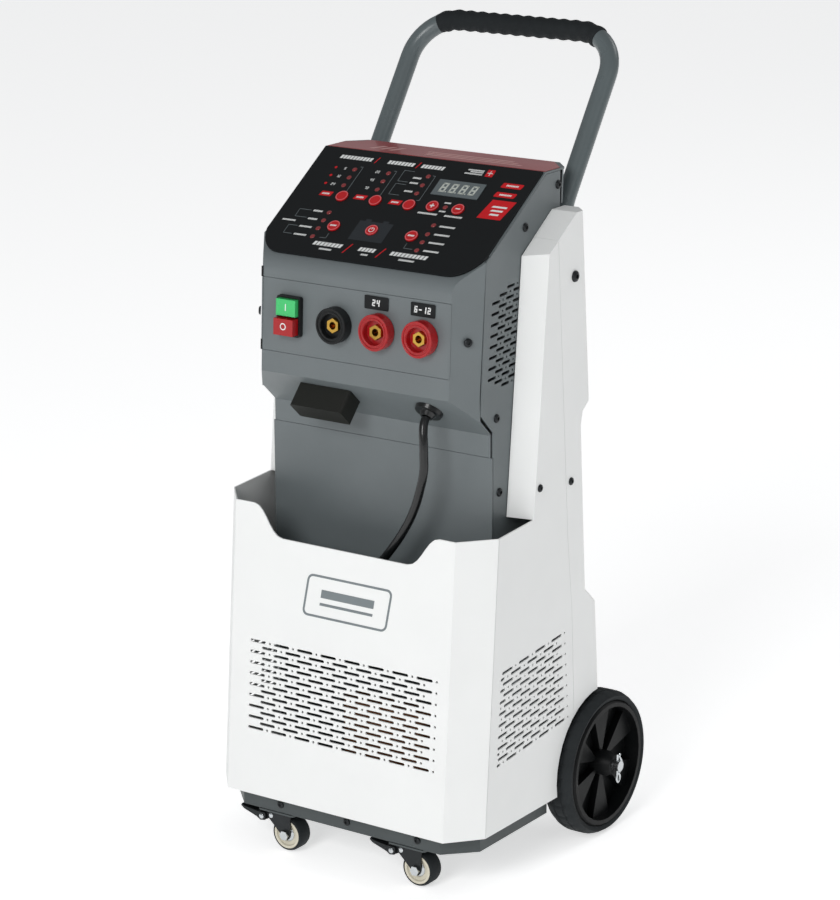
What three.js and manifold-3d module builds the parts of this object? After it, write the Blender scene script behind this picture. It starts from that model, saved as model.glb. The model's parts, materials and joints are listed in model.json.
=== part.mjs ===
import * as THREE from 'three';
import { mergeVertices } from 'three/addons/utils/BufferGeometryUtils.js';
import Module from 'manifold-3d';

// Trolley battery charger and starter. Millimetres, +X to the right seen from the front,
// -Y to the front, +Z up, origin on the floor under the middle of the outline.

const wasm = await Module();
wasm.setup();

const SHEET = 1.6;
const SEAM = 0.4;
const CLEAR = 0.3;
const BIG = 400;

// White outer body: the front leans out towards the floor.
const BODY = {
  half: 171, frontHalf: 141, bottomZ: 66, binTopZ: 386, frontTopY: -161, lean: 0.08,
  cornerDepth: 35, scallopZ: 353, scallopTopHalf: 119, scallopLowHalf: 84, scallopX: 2,
};

// Wings that rise beside the head, with a sloping top.
const WING = {
  footY: -60.8, footZ: 389.7, topY: -33, slopeTopY: 18.5, topZ: 700.6,
  flange: 30, flangeForward: 6, clearY: -120,
};

// Seam between side panel and rear cover, from the arch up, as Y at a height Z.
const SEAM_LINE = [[20.6, 154], [14.9, 270], [5.8, 350.7], [-6.3, 527.6], [-16.5, 677]];

// Rear outline of the cover at its side edge, top to bottom, as Y at a height Z.
const REAR_LINE = [[30, 700.6], [45.4, 495], [33.6, 486], [29.9, 471], [40.9, 286], [61.5, 268], [76, 66]];
const REAR_CORNER = 13;

// Grey head with its sloping control face.
const HEAD = {
  half: 140.3, fasciaHalf: 119, cornerDepth: 30, slopeTopY: 7.4, topZ: 741, slopeDeg: 34,
  fasciaTopY: -135, fasciaBottomY: -141, fasciaBottomZ: 526.5, undercutZ: 482.5, panelY: -93,
  rearTopY: 62, rearFootY: 43, rearFootZ: 703, rearCornerX: 118, rearCornerY: 38,
  seamHighZ: 626.6, seamLowZ: 549, seamPanelZ: 459, wall: 2, foldRadius: 12,
};
const SLOPE = THREE.MathUtils.degToRad(HEAD.slopeDeg);

// Vent fields: rows rise by a slope, and each row lies further along by a drift than the one below.
// A field keeps what is behind each edge, given as a point on the edge and its run per unit of height.
const VENT = { slot: 3 };
const FRONT_VENT = {
  count: 8, rows: 17, pitch: 30.8, rowStep: 6, dash: 20.5, along: 2, z: 188, slope: 0, drift: 0, edges: [],
};
const SIDE_VENT = {
  count: 5, rows: 17, pitch: 31.5, rowStep: 6.08, dash: 20, along: -74.2, z: 193.3, slope: 0.09, drift: -0.5,
  edges: [[-122.6, 232.5, 0.08]],
};
const HEAD_VENT = {
  count: 3, rows: 19, pitch: 25.8, rowStep: 5.6, dash: 15.2, along: -63.6, z: 583.4, slope: 0.05, drift: 0.58,
  edges: [[-94, 621, 2.27], [-101, 542, -2.78]],
};
const FAN_VENT = { x: 0, z: 178, halfX: 56, rows: 9, pitch: 12, slot: 5 };

// Base tray that carries the wheels.
const TRAY = {
  setback: 13, floorZ: 46, sheet: 2, lipZ: 70, corner: 30, half: 159, neckHalf: 143,
  neckY: -14, rearY: 84, earY: 62, earEndY: 82, earZ: 94,
};

const AXLE = { y: 73, z: 80, radius: 6, half: 199, clear: 0.35 };
const WHEEL = {
  radius: 80, inner: 147.5, outer: 183.5, rimRadius: 70, dishRadius: 63.5, webX: 160,
  webThickness: 5, bossRadius: 14, bossX: 190.6, spokes: 6, spokeHeight: 13, spokeAngle: 30,
};
const ARCH_RADIUS = 86;
const CLIP = { x: 194.6, wire: 1.1, leg: 17, eye: 4.2, bulge: 8.6 };

const CASTER = {
  x: 86, y: -157.5, offset: 9, radius: 19.1, half: 9.8, bore: 3.2, pin: 2.9, plateTop: 45.7,
  plateThickness: 2, plateHalfX: 24, plateHalfY: 17, legTopZ: 43.2, leg: 1.8, legTopHalf: 16,
  kingRadius: 4, kingHole: 4.5,
};
const PEDAL = { pivotX: -20, pivotZ: 36, earHalf: 13.4, tipX: -47, tipZ: 43.4, thickness: 2, pin: 2.2 };

// Bent handle tube with a soft grip.
const HANDLE = {
  half: 127, radius: 10.2, topY: 174.8, topZ: 861, kinkY: 59, kinkZ: 690, footY: 66.5, footZ: 520,
  corner: 48, kink: 60, gripHalf: 104, gripOuter: 11.9, gripInner: 10.5,
};
const CLAMP = { z: [560, 600], wallX: 12, thickness: 2 };

const SOCKET = {
  xs: [-22, 32, 86], z: 588, radius: 19, proud: 11, seat: 12, bore: 13, floor: 4, insert: 8,
  hole: 4, insertProud: 8, rear: 14,
};
const SWITCH = {
  x: -81, z: 589.8, halfX: 15.2, halfZ: 21.3, rim: 2.2, depth: 5, buttonHalfX: 12.4, buttonHalfZ: 8.8,
  pitch: 9.9, onProud: 10, offProud: 14, travel: 4, clear: 0.5, rear: 22,
};
const BLOCK = { x: -43.5, half: 33, proud: 27, height: 25.5, drop: 13, round: 3 };
const GROMMET = {
  x: 82, along: 27, radius: 15.5, hole: 12, height: 4.5, nose: 4.5, noseRadius: 6.8, rootRadius: 9, rear: 11,
};

// Control face: sizes along the slope, measured down from its top edge.
const FACE = {
  half: 138.4, top: 2, bottom: 160.5, round: 30, thickness: 2, gap: 0.3, buttonRadius: 7.2,
  buttonClear: 0.5, buttonProud: 1.2, buttonLift: 1, dispX: 56, dispS: 41.5, dispHalfX: 29,
  dispHalfS: 11.2, dispProud: 0.6, recessFloor: 0.8,
};
const BUTTONS = {
  button_charger: [-75, 72], button_starter: [-32, 72], button_tester: [11, 72],
  button_plus: [39, 69.5], button_minus: [71, 69.5], button_voltage: [-60, 115],
  button_power: [-12, 114], button_display: [38.5, 114.5],
};

// Mains lead: where it hangs, and the hank that lies on the floor of the bin with its plug.
const BIN_FLOOR_Z = 252;
const CORD = { radius: 4.6, sides: 8 };
const CORD_ROUTE = [
  [82, -127.5, 501.2], [82.3, -131.2, 496.8], [83.6, -134.9, 489], [85.4, -137, 478], [86.3, -138, 464],
  [86.6, -138.4, 449.2], [81.5, -138.2, 426.5], [73.3, -137.6, 403.4], [60.3, -137, 379.4], [45, -137, 357.4],
  [28, -137.8, 336.8], [10, -139.2, 317], [-6, -140.8, 301], [-13.2, -141.6, 294.4],
];
const HANK = { x: -46.5, y: -129.2, run: 156, width: 66.4, height: 38 };
const PLUG = {
  tip: [63.4, -109.4, 282.4], drop: 11.6, turn: 9, tipRadius: 6.2, neck: 20, shoulder: 26, radius: 18,
  length: 59.5, pin: 2.4, pinLength: 19, pinHalf: 9.5,
};

const TRANSFORMER = {
  y: -40, coreX: 82, coreY: 32, coreZ: 140, leg: 27, window: 27.5, coilClear: 0.6, coilY: 56,
};
const FAN = { y: 48, half: 60, depth: 25, bladeRadius: 55, hubRadius: 19, bore: 3.2, pin: 2.9, blades: 7 };
const SINK = { x: 28, y: -96, z: 580, halfX: 72, halfZ: 26, depth: 34, base: 6, fins: 9, fin: 2.2 };
const BOARD = { half: 122, top: 24, bottom: 132, thickness: 1.6, under: 16 };
const RELAY = { x: -84, y: -62, z: 520, halfX: 26, halfY: 22, halfZ: 30 };

// ---- frames -------------------------------------------------------------------------------

const vec = (x, y, z) => new THREE.Vector3(x, y, z);

function frame(origin, xAxis, yAxis, zAxis) {
  return new THREE.Matrix4().makeBasis(xAxis, yAxis, zAxis).setPosition(origin);
}

// Outline drawn in plan and raised along +Z.
const PLAN = frame(vec(0, 0, 0), vec(1, 0, 0), vec(0, 1, 0), vec(0, 0, 1));
// Outline drawn in Y and Z and drawn out along +X.
const SIDE = frame(vec(0, 0, 0), vec(0, 1, 0), vec(0, 0, 1), vec(1, 0, 0));
// Outline drawn in X and Z and drawn out towards the front.
const FRONT = frame(vec(0, 0, 0), vec(1, 0, 0), vec(0, 0, 1), vec(0, -1, 0));
// Outline drawn on the control face, with y up the slope from its top edge.
const FACE_UP = vec(0, Math.cos(SLOPE), Math.sin(SLOPE));
const FACE_OUT = vec(0, -Math.sin(SLOPE), Math.cos(SLOPE));
const FACE_FRAME = frame(vec(0, HEAD.slopeTopY, HEAD.topZ), vec(1, 0, 0), FACE_UP, FACE_OUT);
// Outline drawn on the undercut, with y running down and back from its front edge.
const UNDER_RUN = vec(0, HEAD.panelY - HEAD.fasciaBottomY, HEAD.undercutZ - HEAD.fasciaBottomZ).normalize();
const UNDER_OUT = vec(0, UNDER_RUN.z, -UNDER_RUN.y);
const UNDER_FRAME = frame(
  vec(0, HEAD.fasciaBottomY, HEAD.fasciaBottomZ), vec(-1, 0, 0), UNDER_RUN, UNDER_OUT);

const faceTopZ = (y) => HEAD.topZ - (HEAD.slopeTopY - y) * Math.tan(SLOPE);
const wingTopZ = (y) => WING.topZ - (WING.slopeTopY - y) * Math.tan(SLOPE);
const fasciaLean = (HEAD.fasciaTopY - HEAD.fasciaBottomY) / (faceTopZ(HEAD.fasciaTopY) - HEAD.fasciaBottomZ);
const fasciaY = (z) => HEAD.fasciaBottomY + (z - HEAD.fasciaBottomZ) * fasciaLean;
const frontY = (z) => BODY.frontTopY - BODY.lean * (BODY.binTopZ - z);

// ---- solids -------------------------------------------------------------------------------

function weld(source) {
  const bare = new THREE.BufferGeometry();
  bare.setAttribute('position', source.getAttribute('position').clone());
  if (source.index) bare.setIndex(source.index.clone());
  const welded = mergeVertices(bare, 1e-4);
  const index = welded.index.array;
  const at = welded.getAttribute('position');
  const kept = [];
  let volume = 0;
  for (let i = 0; i < index.length; i += 3) {
    const [a, b, c] = [index[i], index[i + 1], index[i + 2]];
    if (a === b || b === c || c === a) continue;
    kept.push(a, b, c);
    const [p, q, r] = [a, b, c].map((k) => new THREE.Vector3().fromBufferAttribute(at, k));
    volume += p.dot(q.cross(r));
  }
  if (volume < 0) kept.reverse();
  welded.setIndex(kept);
  return welded;
}

function toManifold(source) {
  const welded = weld(source);
  return new wasm.Manifold(new wasm.Mesh({
    numProp: 3,
    vertProperties: new Float32Array(welded.getAttribute('position').array),
    triVerts: new Uint32Array(welded.index.array),
  }));
}

function toGeometry(manifold) {
  const mesh = manifold.getMesh();
  const geometry = new THREE.BufferGeometry();
  geometry.setAttribute('position', new THREE.BufferAttribute(new Float32Array(mesh.vertProperties), 3));
  geometry.setIndex([...mesh.triVerts]);
  return geometry;
}

function cut(base, ...tools) {
  return toGeometry(tools.reduce((m, tool) => m.subtract(toManifold(tool)), toManifold(base)));
}

function join(base, ...more) {
  return toGeometry(more.reduce((m, next) => m.add(toManifold(next)), toManifold(base)));
}

function common(base, ...more) {
  return toGeometry(more.reduce((m, next) => m.intersect(toManifold(next)), toManifold(base)));
}

function outline(points) {
  return new THREE.Shape(points.map(([x, y]) => new THREE.Vector2(x, y)));
}

function prism(shape, depth, matrix, start = 0, curveSegments = 8) {
  const geometry = new THREE.ExtrudeGeometry(shape, { depth, bevelEnabled: false, curveSegments });
  return geometry.translate(0, 0, start).applyMatrix4(matrix);
}

function block(x0, x1, y0, y1, z0, z1) {
  return new THREE.BoxGeometry(x1 - x0, y1 - y0, z1 - z0)
    .translate((x0 + x1) / 2, (y0 + y1) / 2, (z0 + z1) / 2);
}

function rectangle(x0, x1, y0, y1) {
  return outline([[x0, y0], [x1, y0], [x1, y1], [x0, y1]]);
}

function roundedRectangle(cx, cy, halfX, halfY, radius) {
  const shape = new THREE.Shape();
  const [x0, x1, y0, y1] = [cx - halfX, cx + halfX, cy - halfY, cy + halfY];
  shape.moveTo(x0 + radius, y0);
  shape.absarc(x1 - radius, y0 + radius, radius, -Math.PI / 2, 0);
  shape.absarc(x1 - radius, y1 - radius, radius, 0, Math.PI / 2);
  shape.absarc(x0 + radius, y1 - radius, radius, Math.PI / 2, Math.PI);
  shape.absarc(x0 + radius, y0 + radius, radius, Math.PI, Math.PI * 1.5);
  return shape;
}

function disc(cx, cy, radius) {
  const shape = new THREE.Shape();
  shape.absarc(cx, cy, radius, 0, Math.PI * 2);
  return shape;
}

// Round bar along X between two places.
function barX(x0, x1, y, z, radius, segments = 24) {
  return new THREE.CylinderGeometry(radius, radius, x1 - x0, segments)
    .rotateZ(Math.PI / 2).translate((x0 + x1) / 2, y, z);
}

// Round bar along Y between two places.
function barY(x, y0, y1, z, radius, segments = 24) {
  return new THREE.CylinderGeometry(radius, radius, y1 - y0, segments).translate(x, (y0 + y1) / 2, z);
}

// Round bar along Z between two places.
function barZ(x, y, z0, z1, radius, segments = 24) {
  return new THREE.CylinderGeometry(radius, radius, z1 - z0, segments)
    .rotateX(Math.PI / 2).translate(x, y, (z0 + z1) / 2);
}

// Turned body about Y from a closed profile of [radius, y] points.
function turnedY(profile, segments) {
  const points = [...profile, profile[0]].map(([r, y]) => new THREE.Vector2(r, y));
  return new THREE.LatheGeometry(points, segments);
}

// Turned body about X from a closed profile of [radius, x] points.
function turnedX(profile, segments) {
  return turnedY(profile, segments).rotateZ(-Math.PI / 2);
}

// Shifts each point in Y by an amount per millimetre of height below a level.
function leaned(geometry, perHeight, level) {
  const shift = -perHeight * level;
  const shear = new THREE.Matrix4().set(1, 0, 0, 0, 0, 1, perHeight, shift, 0, 0, 1, 0, 0, 0, 0, 1);
  return geometry.applyMatrix4(shear);
}

function mirrored(geometry) {
  return weld(geometry.clone().scale(-1, 1, 1));
}

// Joins matching outlines in planes of constant X into one solid.
function loft(given) {
  const clockwise = THREE.ShapeUtils.area(given[0].points.map(([x, y]) => ({ x, y }))) < 0;
  const sections = given.map(({ x, points }) => ({ x, points: clockwise ? [...points].reverse() : points }));
  const count = sections[0].points.length;
  const positions = sections.flatMap(({ x, points }) => points.flatMap(([y, z]) => [x, y, z]));
  const index = [];
  for (let s = 0; s + 1 < sections.length; s++) {
    for (let i = 0; i < count; i++) {
      const [a, b] = [s * count + i, s * count + ((i + 1) % count)];
      index.push(a, b, b + count, a, b + count, a + count);
    }
  }
  const flat = sections[0].points.map(([y, z]) => new THREE.Vector2(y, z));
  const last = (sections.length - 1) * count;
  for (const [a, b, c] of THREE.ShapeUtils.triangulateShape(flat, [])) {
    index.push(a, c, b, last + a, last + b, last + c);
  }
  const geometry = new THREE.BufferGeometry();
  geometry.setAttribute('position', new THREE.Float32BufferAttribute(positions, 3));
  return geometry.setIndex(index);
}

// Rows of dashes, each second row moved by half a pitch and one dash shorter.
function dashRows({ count, rows, pitch, rowStep, dash, along, z, slope, drift, edges }) {
  const shapes = [];
  const half = VENT.slot / 2;
  for (let row = 0; row < rows; row++) {
    const inRow = count - (row % 2);
    const up = row - (rows - 1) / 2;
    for (let i = 0; i < inRow; i++) {
      const out = (i - (inRow - 1) / 2) * pitch;
      const [x, y] = [along + out + drift * up, z + rowStep * up + slope * out];
      const starts = edges.map(([edgeX, edgeZ, run]) => edgeX + run * (y - edgeZ));
      const low = Math.max(x - dash / 2, ...starts) + half;
      const high = x + dash / 2 - half;
      if (high - low < half) continue;
      const [yLow, yHigh] = [y + slope * (low - x), y + slope * (high - x)];
      shapes.push(outline([
        [low, yLow - half], [high, yHigh - half], [high, yHigh + half], [low, yLow + half],
      ]));
    }
  }
  return shapes;
}

// ---- head ---------------------------------------------------------------------------------

// Side outline of the head, moved inwards by an amount and opened at the foot and the back.
function headOutline(inset, openBack) {
  const along = inset / Math.cos(SLOPE);
  const slopeAt = (y) => faceTopZ(y) - along;
  const foot = HEAD.seamPanelZ - (inset ? BIG / 8 : 0);
  const frontFoot = HEAD.panelY + inset;
  const runLength = inset / UNDER_RUN.y;
  const underAt = (y) => HEAD.undercutZ + runLength + ((HEAD.panelY - y) * -UNDER_RUN.z) / UNDER_RUN.y;
  const fasciaAt = (z) => fasciaY(z) + inset;
  const shape = new THREE.Shape();
  shape.moveTo(frontFoot, foot);
  shape.lineTo(frontFoot, underAt(frontFoot));
  const lowFrontZ = HEAD.fasciaBottomZ + inset * 0.4;
  shape.lineTo(fasciaAt(lowFrontZ), underAt(fasciaAt(lowFrontZ)));
  const cornerY = HEAD.fasciaTopY + inset;
  const cornerZ = slopeAt(cornerY);
  shape.lineTo(cornerY, cornerZ - HEAD.foldRadius);
  const backStep = HEAD.foldRadius * Math.cos(SLOPE);
  shape.quadraticCurveTo(cornerY, cornerZ, cornerY + backStep, slopeAt(cornerY + backStep));
  shape.lineTo(HEAD.slopeTopY, HEAD.topZ - inset);
  shape.lineTo(HEAD.rearTopY - inset, HEAD.topZ - inset);
  shape.lineTo(HEAD.rearFootY - inset, HEAD.rearFootZ);
  if (openBack) {
    shape.lineTo(HEAD.rearTopY + BIG / 8, HEAD.rearFootZ);
    shape.lineTo(HEAD.rearTopY + BIG / 8, foot);
  } else {
    shape.lineTo(HEAD.rearFootY - inset, foot);
  }
  return shape;
}

// Plan outline of the head with its slanted corners, moved inwards by an amount.
function headPlan(inset) {
  const half = HEAD.half - inset;
  const turn = HEAD.fasciaHalf - inset * 0.5;
  const side = fasciaY(faceTopZ(HEAD.fasciaTopY)) + HEAD.cornerDepth + inset * 0.5;
  const reach = 40;
  const right = [
    [turn, side - HEAD.cornerDepth - reach], [turn, side - HEAD.cornerDepth],
    [half, side], [half, HEAD.rearCornerY - inset * 0.5], [HEAD.rearCornerX, HEAD.rearTopY - inset * 0.2],
  ];
  const points = [...right, [HEAD.rearCornerX, HEAD.rearTopY + reach]];
  const left = points.map(([x, y]) => [-x, y]).reverse();
  const solid = prism(outline([...points, ...left]), BIG, PLAN, HEAD.seamPanelZ - BIG / 4);
  return leaned(solid, fasciaLean, faceTopZ(HEAD.fasciaTopY));
}

function headSolid(inset, openBack = false) {
  const along = prism(headOutline(inset, openBack), 2 * (HEAD.half - inset), SIDE, -(HEAD.half - inset));
  return common(along, headPlan(inset));
}

function headCover() {
  const hollow = headSolid(HEAD.wall, true);
  const shell = cut(headSolid(0), hollow);
  const underFace = HEAD.wall / Math.cos(SLOPE);
  const cheek = outline([
    [fasciaY(HEAD.undercutZ) + HEAD.cornerDepth, HEAD.seamPanelZ - 1],
    [fasciaY(HEAD.undercutZ) + HEAD.cornerDepth, HEAD.fasciaBottomZ],
    [fasciaY(faceTopZ(-100)) + HEAD.cornerDepth, faceTopZ(-100) - underFace],
    [HEAD.slopeTopY, HEAD.topZ - underFace], [HEAD.slopeTopY + 1, HEAD.topZ - HEAD.wall],
    [HEAD.rearTopY, HEAD.topZ - HEAD.wall], [HEAD.rearTopY, HEAD.seamPanelZ - 1],
  ]);
  const cheekRight = prism(cheek, 10, SIDE, HEAD.half - HEAD.wall - SEAM);
  const opening = block(-HEAD.fasciaHalf, HEAD.fasciaHalf, HEAD.fasciaBottomY - 5, HEAD.fasciaTopY + 8,
    HEAD.seamLowZ - SEAM / 2, HEAD.seamHighZ + SEAM / 2);
  const leadHole = new THREE.CylinderGeometry(GROMMET.hole, GROMMET.hole, 20, 28).rotateX(Math.PI / 2)
    .translate(-GROMMET.x, GROMMET.along, 0).applyMatrix4(UNDER_FRAME);
  const coverFront = HEAD.rearCornerY - 25;
  const overCover = block(-BIG / 2, BIG / 2, coverFront, BIG / 4, HEAD.seamPanelZ - 1, HEAD.rearFootZ);
  return cut(shell, cheekRight, mirrored(cheekRight), opening, leadHole, overCover);
}

function terminalPanel() {
  const slab = common(cut(headSolid(0), headSolid(HEAD.wall, true)),
    block(-HEAD.fasciaHalf + SEAM, HEAD.fasciaHalf - SEAM, HEAD.fasciaBottomY - 5, HEAD.fasciaTopY + 8,
      HEAD.seamLowZ + SEAM / 2, HEAD.seamHighZ - SEAM / 2));
  const holes = SOCKET.xs.map((x) => barY(x, -BIG / 2, 0, SOCKET.z, SOCKET.seat + SEAM, 28));
  const holeX = SWITCH.halfX - SWITCH.rim / 2;
  const holeZ = SWITCH.halfZ - SWITCH.rim / 2;
  const switchHole = block(SWITCH.x - holeX, SWITCH.x + holeX, -BIG / 2, 0,
    SWITCH.z - holeZ, SWITCH.z + holeZ);
  return cut(slab, ...holes, switchHole);
}

function lowerPanel() {
  return block(-HEAD.half, HEAD.half, HEAD.panelY, HEAD.panelY + SHEET,
    BIN_FLOOR_Z - 12, HEAD.seamPanelZ - SEAM);
}

function sidePlate() {
  const under = HEAD.wall + SEAM;
  const drop = under / Math.cos(SLOPE);
  const front = fasciaY(HEAD.undercutZ) + HEAD.cornerDepth + SEAM;
  const shape = outline([
    [HEAD.panelY + under, TRAY.lipZ + 6], [HEAD.panelY + under, HEAD.undercutZ + 3],
    [front, HEAD.undercutZ + 3 + (HEAD.panelY + under - front)],
    [fasciaY(faceTopZ(-100)) + HEAD.cornerDepth + SEAM, faceTopZ(-100) - drop],
    [HEAD.slopeTopY, HEAD.topZ - drop], [HEAD.slopeTopY + 1, HEAD.topZ - under],
    [HEAD.rearCornerY - 3, HEAD.topZ - under],
    [HEAD.rearCornerY - 8, TRAY.lipZ + 6],
  ]);
  const plate = prism(shape, SHEET, SIDE, HEAD.half - SHEET);
  const slots = prism(dashRows(HEAD_VENT), 10, SIDE, HEAD.half - 5);
  return cut(plate, slots);
}

// ---- control face -------------------------------------------------------------------------

function facePlate(depth, start) {
  const { half, top, bottom, round } = FACE;
  const shape = new THREE.Shape();
  shape.moveTo(-half, -top);
  shape.lineTo(-half, -(bottom - round));
  shape.quadraticCurveTo(-half + round * 0.35, -bottom, -half + round * 1.1, -bottom);
  shape.lineTo(half - round * 1.1, -bottom);
  shape.quadraticCurveTo(half - round * 0.35, -bottom, half, -(bottom - round));
  shape.lineTo(half, -top);
  for (const [x, s] of Object.values(BUTTONS)) {
    shape.holes.push(disc(x, -s, FACE.buttonRadius + FACE.buttonClear));
  }
  return prism(shape, depth, FACE_FRAME, start, 8);
}

function controlMembrane() {
  const plate = facePlate(FACE.thickness, FACE.gap);
  const recess = prism(windowOutline(SEAM), FACE.thickness, FACE_FRAME, FACE.gap + FACE.recessFloor);
  return cut(plate, recess);
}

function windowOutline(grow) {
  const [halfX, halfS] = [FACE.dispHalfX + grow, FACE.dispHalfS + grow];
  return rectangle(FACE.dispX - halfX, FACE.dispX + halfX, -FACE.dispS - halfS, -FACE.dispS + halfS);
}

function displayWindow() {
  const floor = FACE.recessFloor + CLEAR;
  return prism(windowOutline(0), FACE.thickness - floor + FACE.dispProud, FACE_FRAME, FACE.gap + floor);
}

function faceButton([x, s]) {
  const depth = FACE.gap + FACE.thickness + FACE.buttonProud - FACE.buttonLift;
  return prism(disc(x, -s, FACE.buttonRadius), depth, FACE_FRAME, FACE.buttonLift, 8);
}

// ---- front fittings -----------------------------------------------------------------------

function socket(x) {
  const y = fasciaY(SOCKET.z) - CLEAR;
  const ring = barY(x, y - SOCKET.proud, y - 0.4, SOCKET.z, SOCKET.radius, 28);
  const neck = barY(x, y - SOCKET.proud + 2, y + SOCKET.rear, SOCKET.z, SOCKET.seat, 24);
  const recess = barY(x, y - BIG / 4, y - SOCKET.floor, SOCKET.z, SOCKET.bore, 24);
  const through = barY(x, y - BIG / 4, y + BIG / 4, SOCKET.z, SOCKET.insert + CLEAR, 6);
  return leaned(cut(join(ring, neck), recess, through), fasciaLean, SOCKET.z);
}

function socketInsert(x) {
  const y = fasciaY(SOCKET.z);
  const hex = barY(x, y - SOCKET.insertProud, y + SOCKET.rear + 12, SOCKET.z, SOCKET.insert, 6);
  const bore = barY(x, y - SOCKET.insertProud - 1, y + SOCKET.rear - 2, SOCKET.z, SOCKET.hole, 20);
  return leaned(cut(hex, bore), fasciaLean, SOCKET.z);
}

function switchHousing() {
  const y = fasciaY(SWITCH.z) - CLEAR;
  const rimShape = roundedRectangle(SWITCH.x, SWITCH.z, SWITCH.halfX, SWITCH.halfZ, 3);
  const rim = prism(rimShape, SWITCH.depth, FRONT, -y, 3);
  const bodyX = SWITCH.halfX - SWITCH.rim;
  const bodyZ = SWITCH.halfZ - SWITCH.rim;
  const body = block(SWITCH.x - bodyX, SWITCH.x + bodyX, y - 1, y + SWITCH.rear,
    SWITCH.z - bodyZ, SWITCH.z + bodyZ);
  const wells = [1, -1].map((up) => buttonBlock(up, SWITCH.clear, y - BIG / 8, y + SWITCH.rear - 2));
  return leaned(cut(join(rim, body), ...wells), fasciaLean, SWITCH.z);
}

function buttonBlock(up, grow, y0, y1) {
  const z = SWITCH.z + up * SWITCH.pitch;
  return block(SWITCH.x - SWITCH.buttonHalfX - grow, SWITCH.x + SWITCH.buttonHalfX + grow, y0, y1,
    z - SWITCH.buttonHalfZ - grow, z + SWITCH.buttonHalfZ + grow);
}

function switchButton(up, proud) {
  const y = fasciaY(SWITCH.z) - CLEAR;
  const cap = buttonBlock(up, 0, y - proud, y + SWITCH.rear - 4 - SWITCH.travel);
  return leaned(cap, fasciaLean, SWITCH.z);
}

function clampBlock() {
  const middle = BLOCK.drop + BLOCK.height / 2;
  const shape = roundedRectangle(-BLOCK.x, middle, BLOCK.half, BLOCK.height / 2, BLOCK.round);
  return prism(shape, BLOCK.proud, UNDER_FRAME, CLEAR, 3);
}

// Bush with a flange outside, a tapered nose and a longer tapered tail inside.
function grommet() {
  const { radius, hole, height, nose, noseRadius, rootRadius, rear, x, along } = GROMMET;
  const bore = CORD.radius + SEAM;
  const profile = [
    [bore, -rear], [noseRadius, -rear], [hole - SEAM, -HEAD.wall], [hole - SEAM, CLEAR], [radius, CLEAR],
    [radius - 1, height], [rootRadius, height], [noseRadius, height + nose], [bore, height + nose],
  ];
  return turnedY(profile, 20).rotateX(Math.PI / 2).translate(-x, along, 0).applyMatrix4(UNDER_FRAME);
}

// ---- white body ---------------------------------------------------------------------------

function bodyPlan(inset) {
  const half = BODY.half - inset;
  const front = BODY.frontTopY + inset;
  const turn = BODY.frontHalf - inset * 0.45;
  const end = BODY.frontTopY + BODY.cornerDepth;
  return [[half, end], [turn, front], [-turn, front], [-half, end]];
}

function scallop() {
  const { scallopX: x, scallopTopHalf: wide, scallopLowHalf: low, scallopZ: z, binTopZ: top } = BODY;
  const up = top + 30;
  const shape = new THREE.Shape();
  shape.moveTo(x - wide, up);
  shape.lineTo(x - wide, top);
  shape.bezierCurveTo(x - wide + 16, top, x - low - 14, z, x - low + 4, z);
  shape.lineTo(x + low - 4, z);
  shape.bezierCurveTo(x + low + 14, z, x + wide - 16, top, x + wide, top);
  shape.lineTo(x + wide, up);
  return prism(shape, BIG, FRONT, 0, 7);
}

function frontPanel() {
  const rim = outline([...bodyPlan(0), ...bodyPlan(SHEET).reverse()]);
  const height = BODY.binTopZ - BODY.bottomZ;
  const wall = leaned(prism(rim, height, PLAN, BODY.bottomZ), BODY.lean, BODY.binTopZ);
  const slots = prism(dashRows(FRONT_VENT), BIG / 2, FRONT, BIG / 4);
  return cut(wall, scallop(), slots);
}

function arch(x0, x1) {
  return barX(x0, x1, AXLE.y, AXLE.z, ARCH_RADIUS, 36);
}

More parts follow.
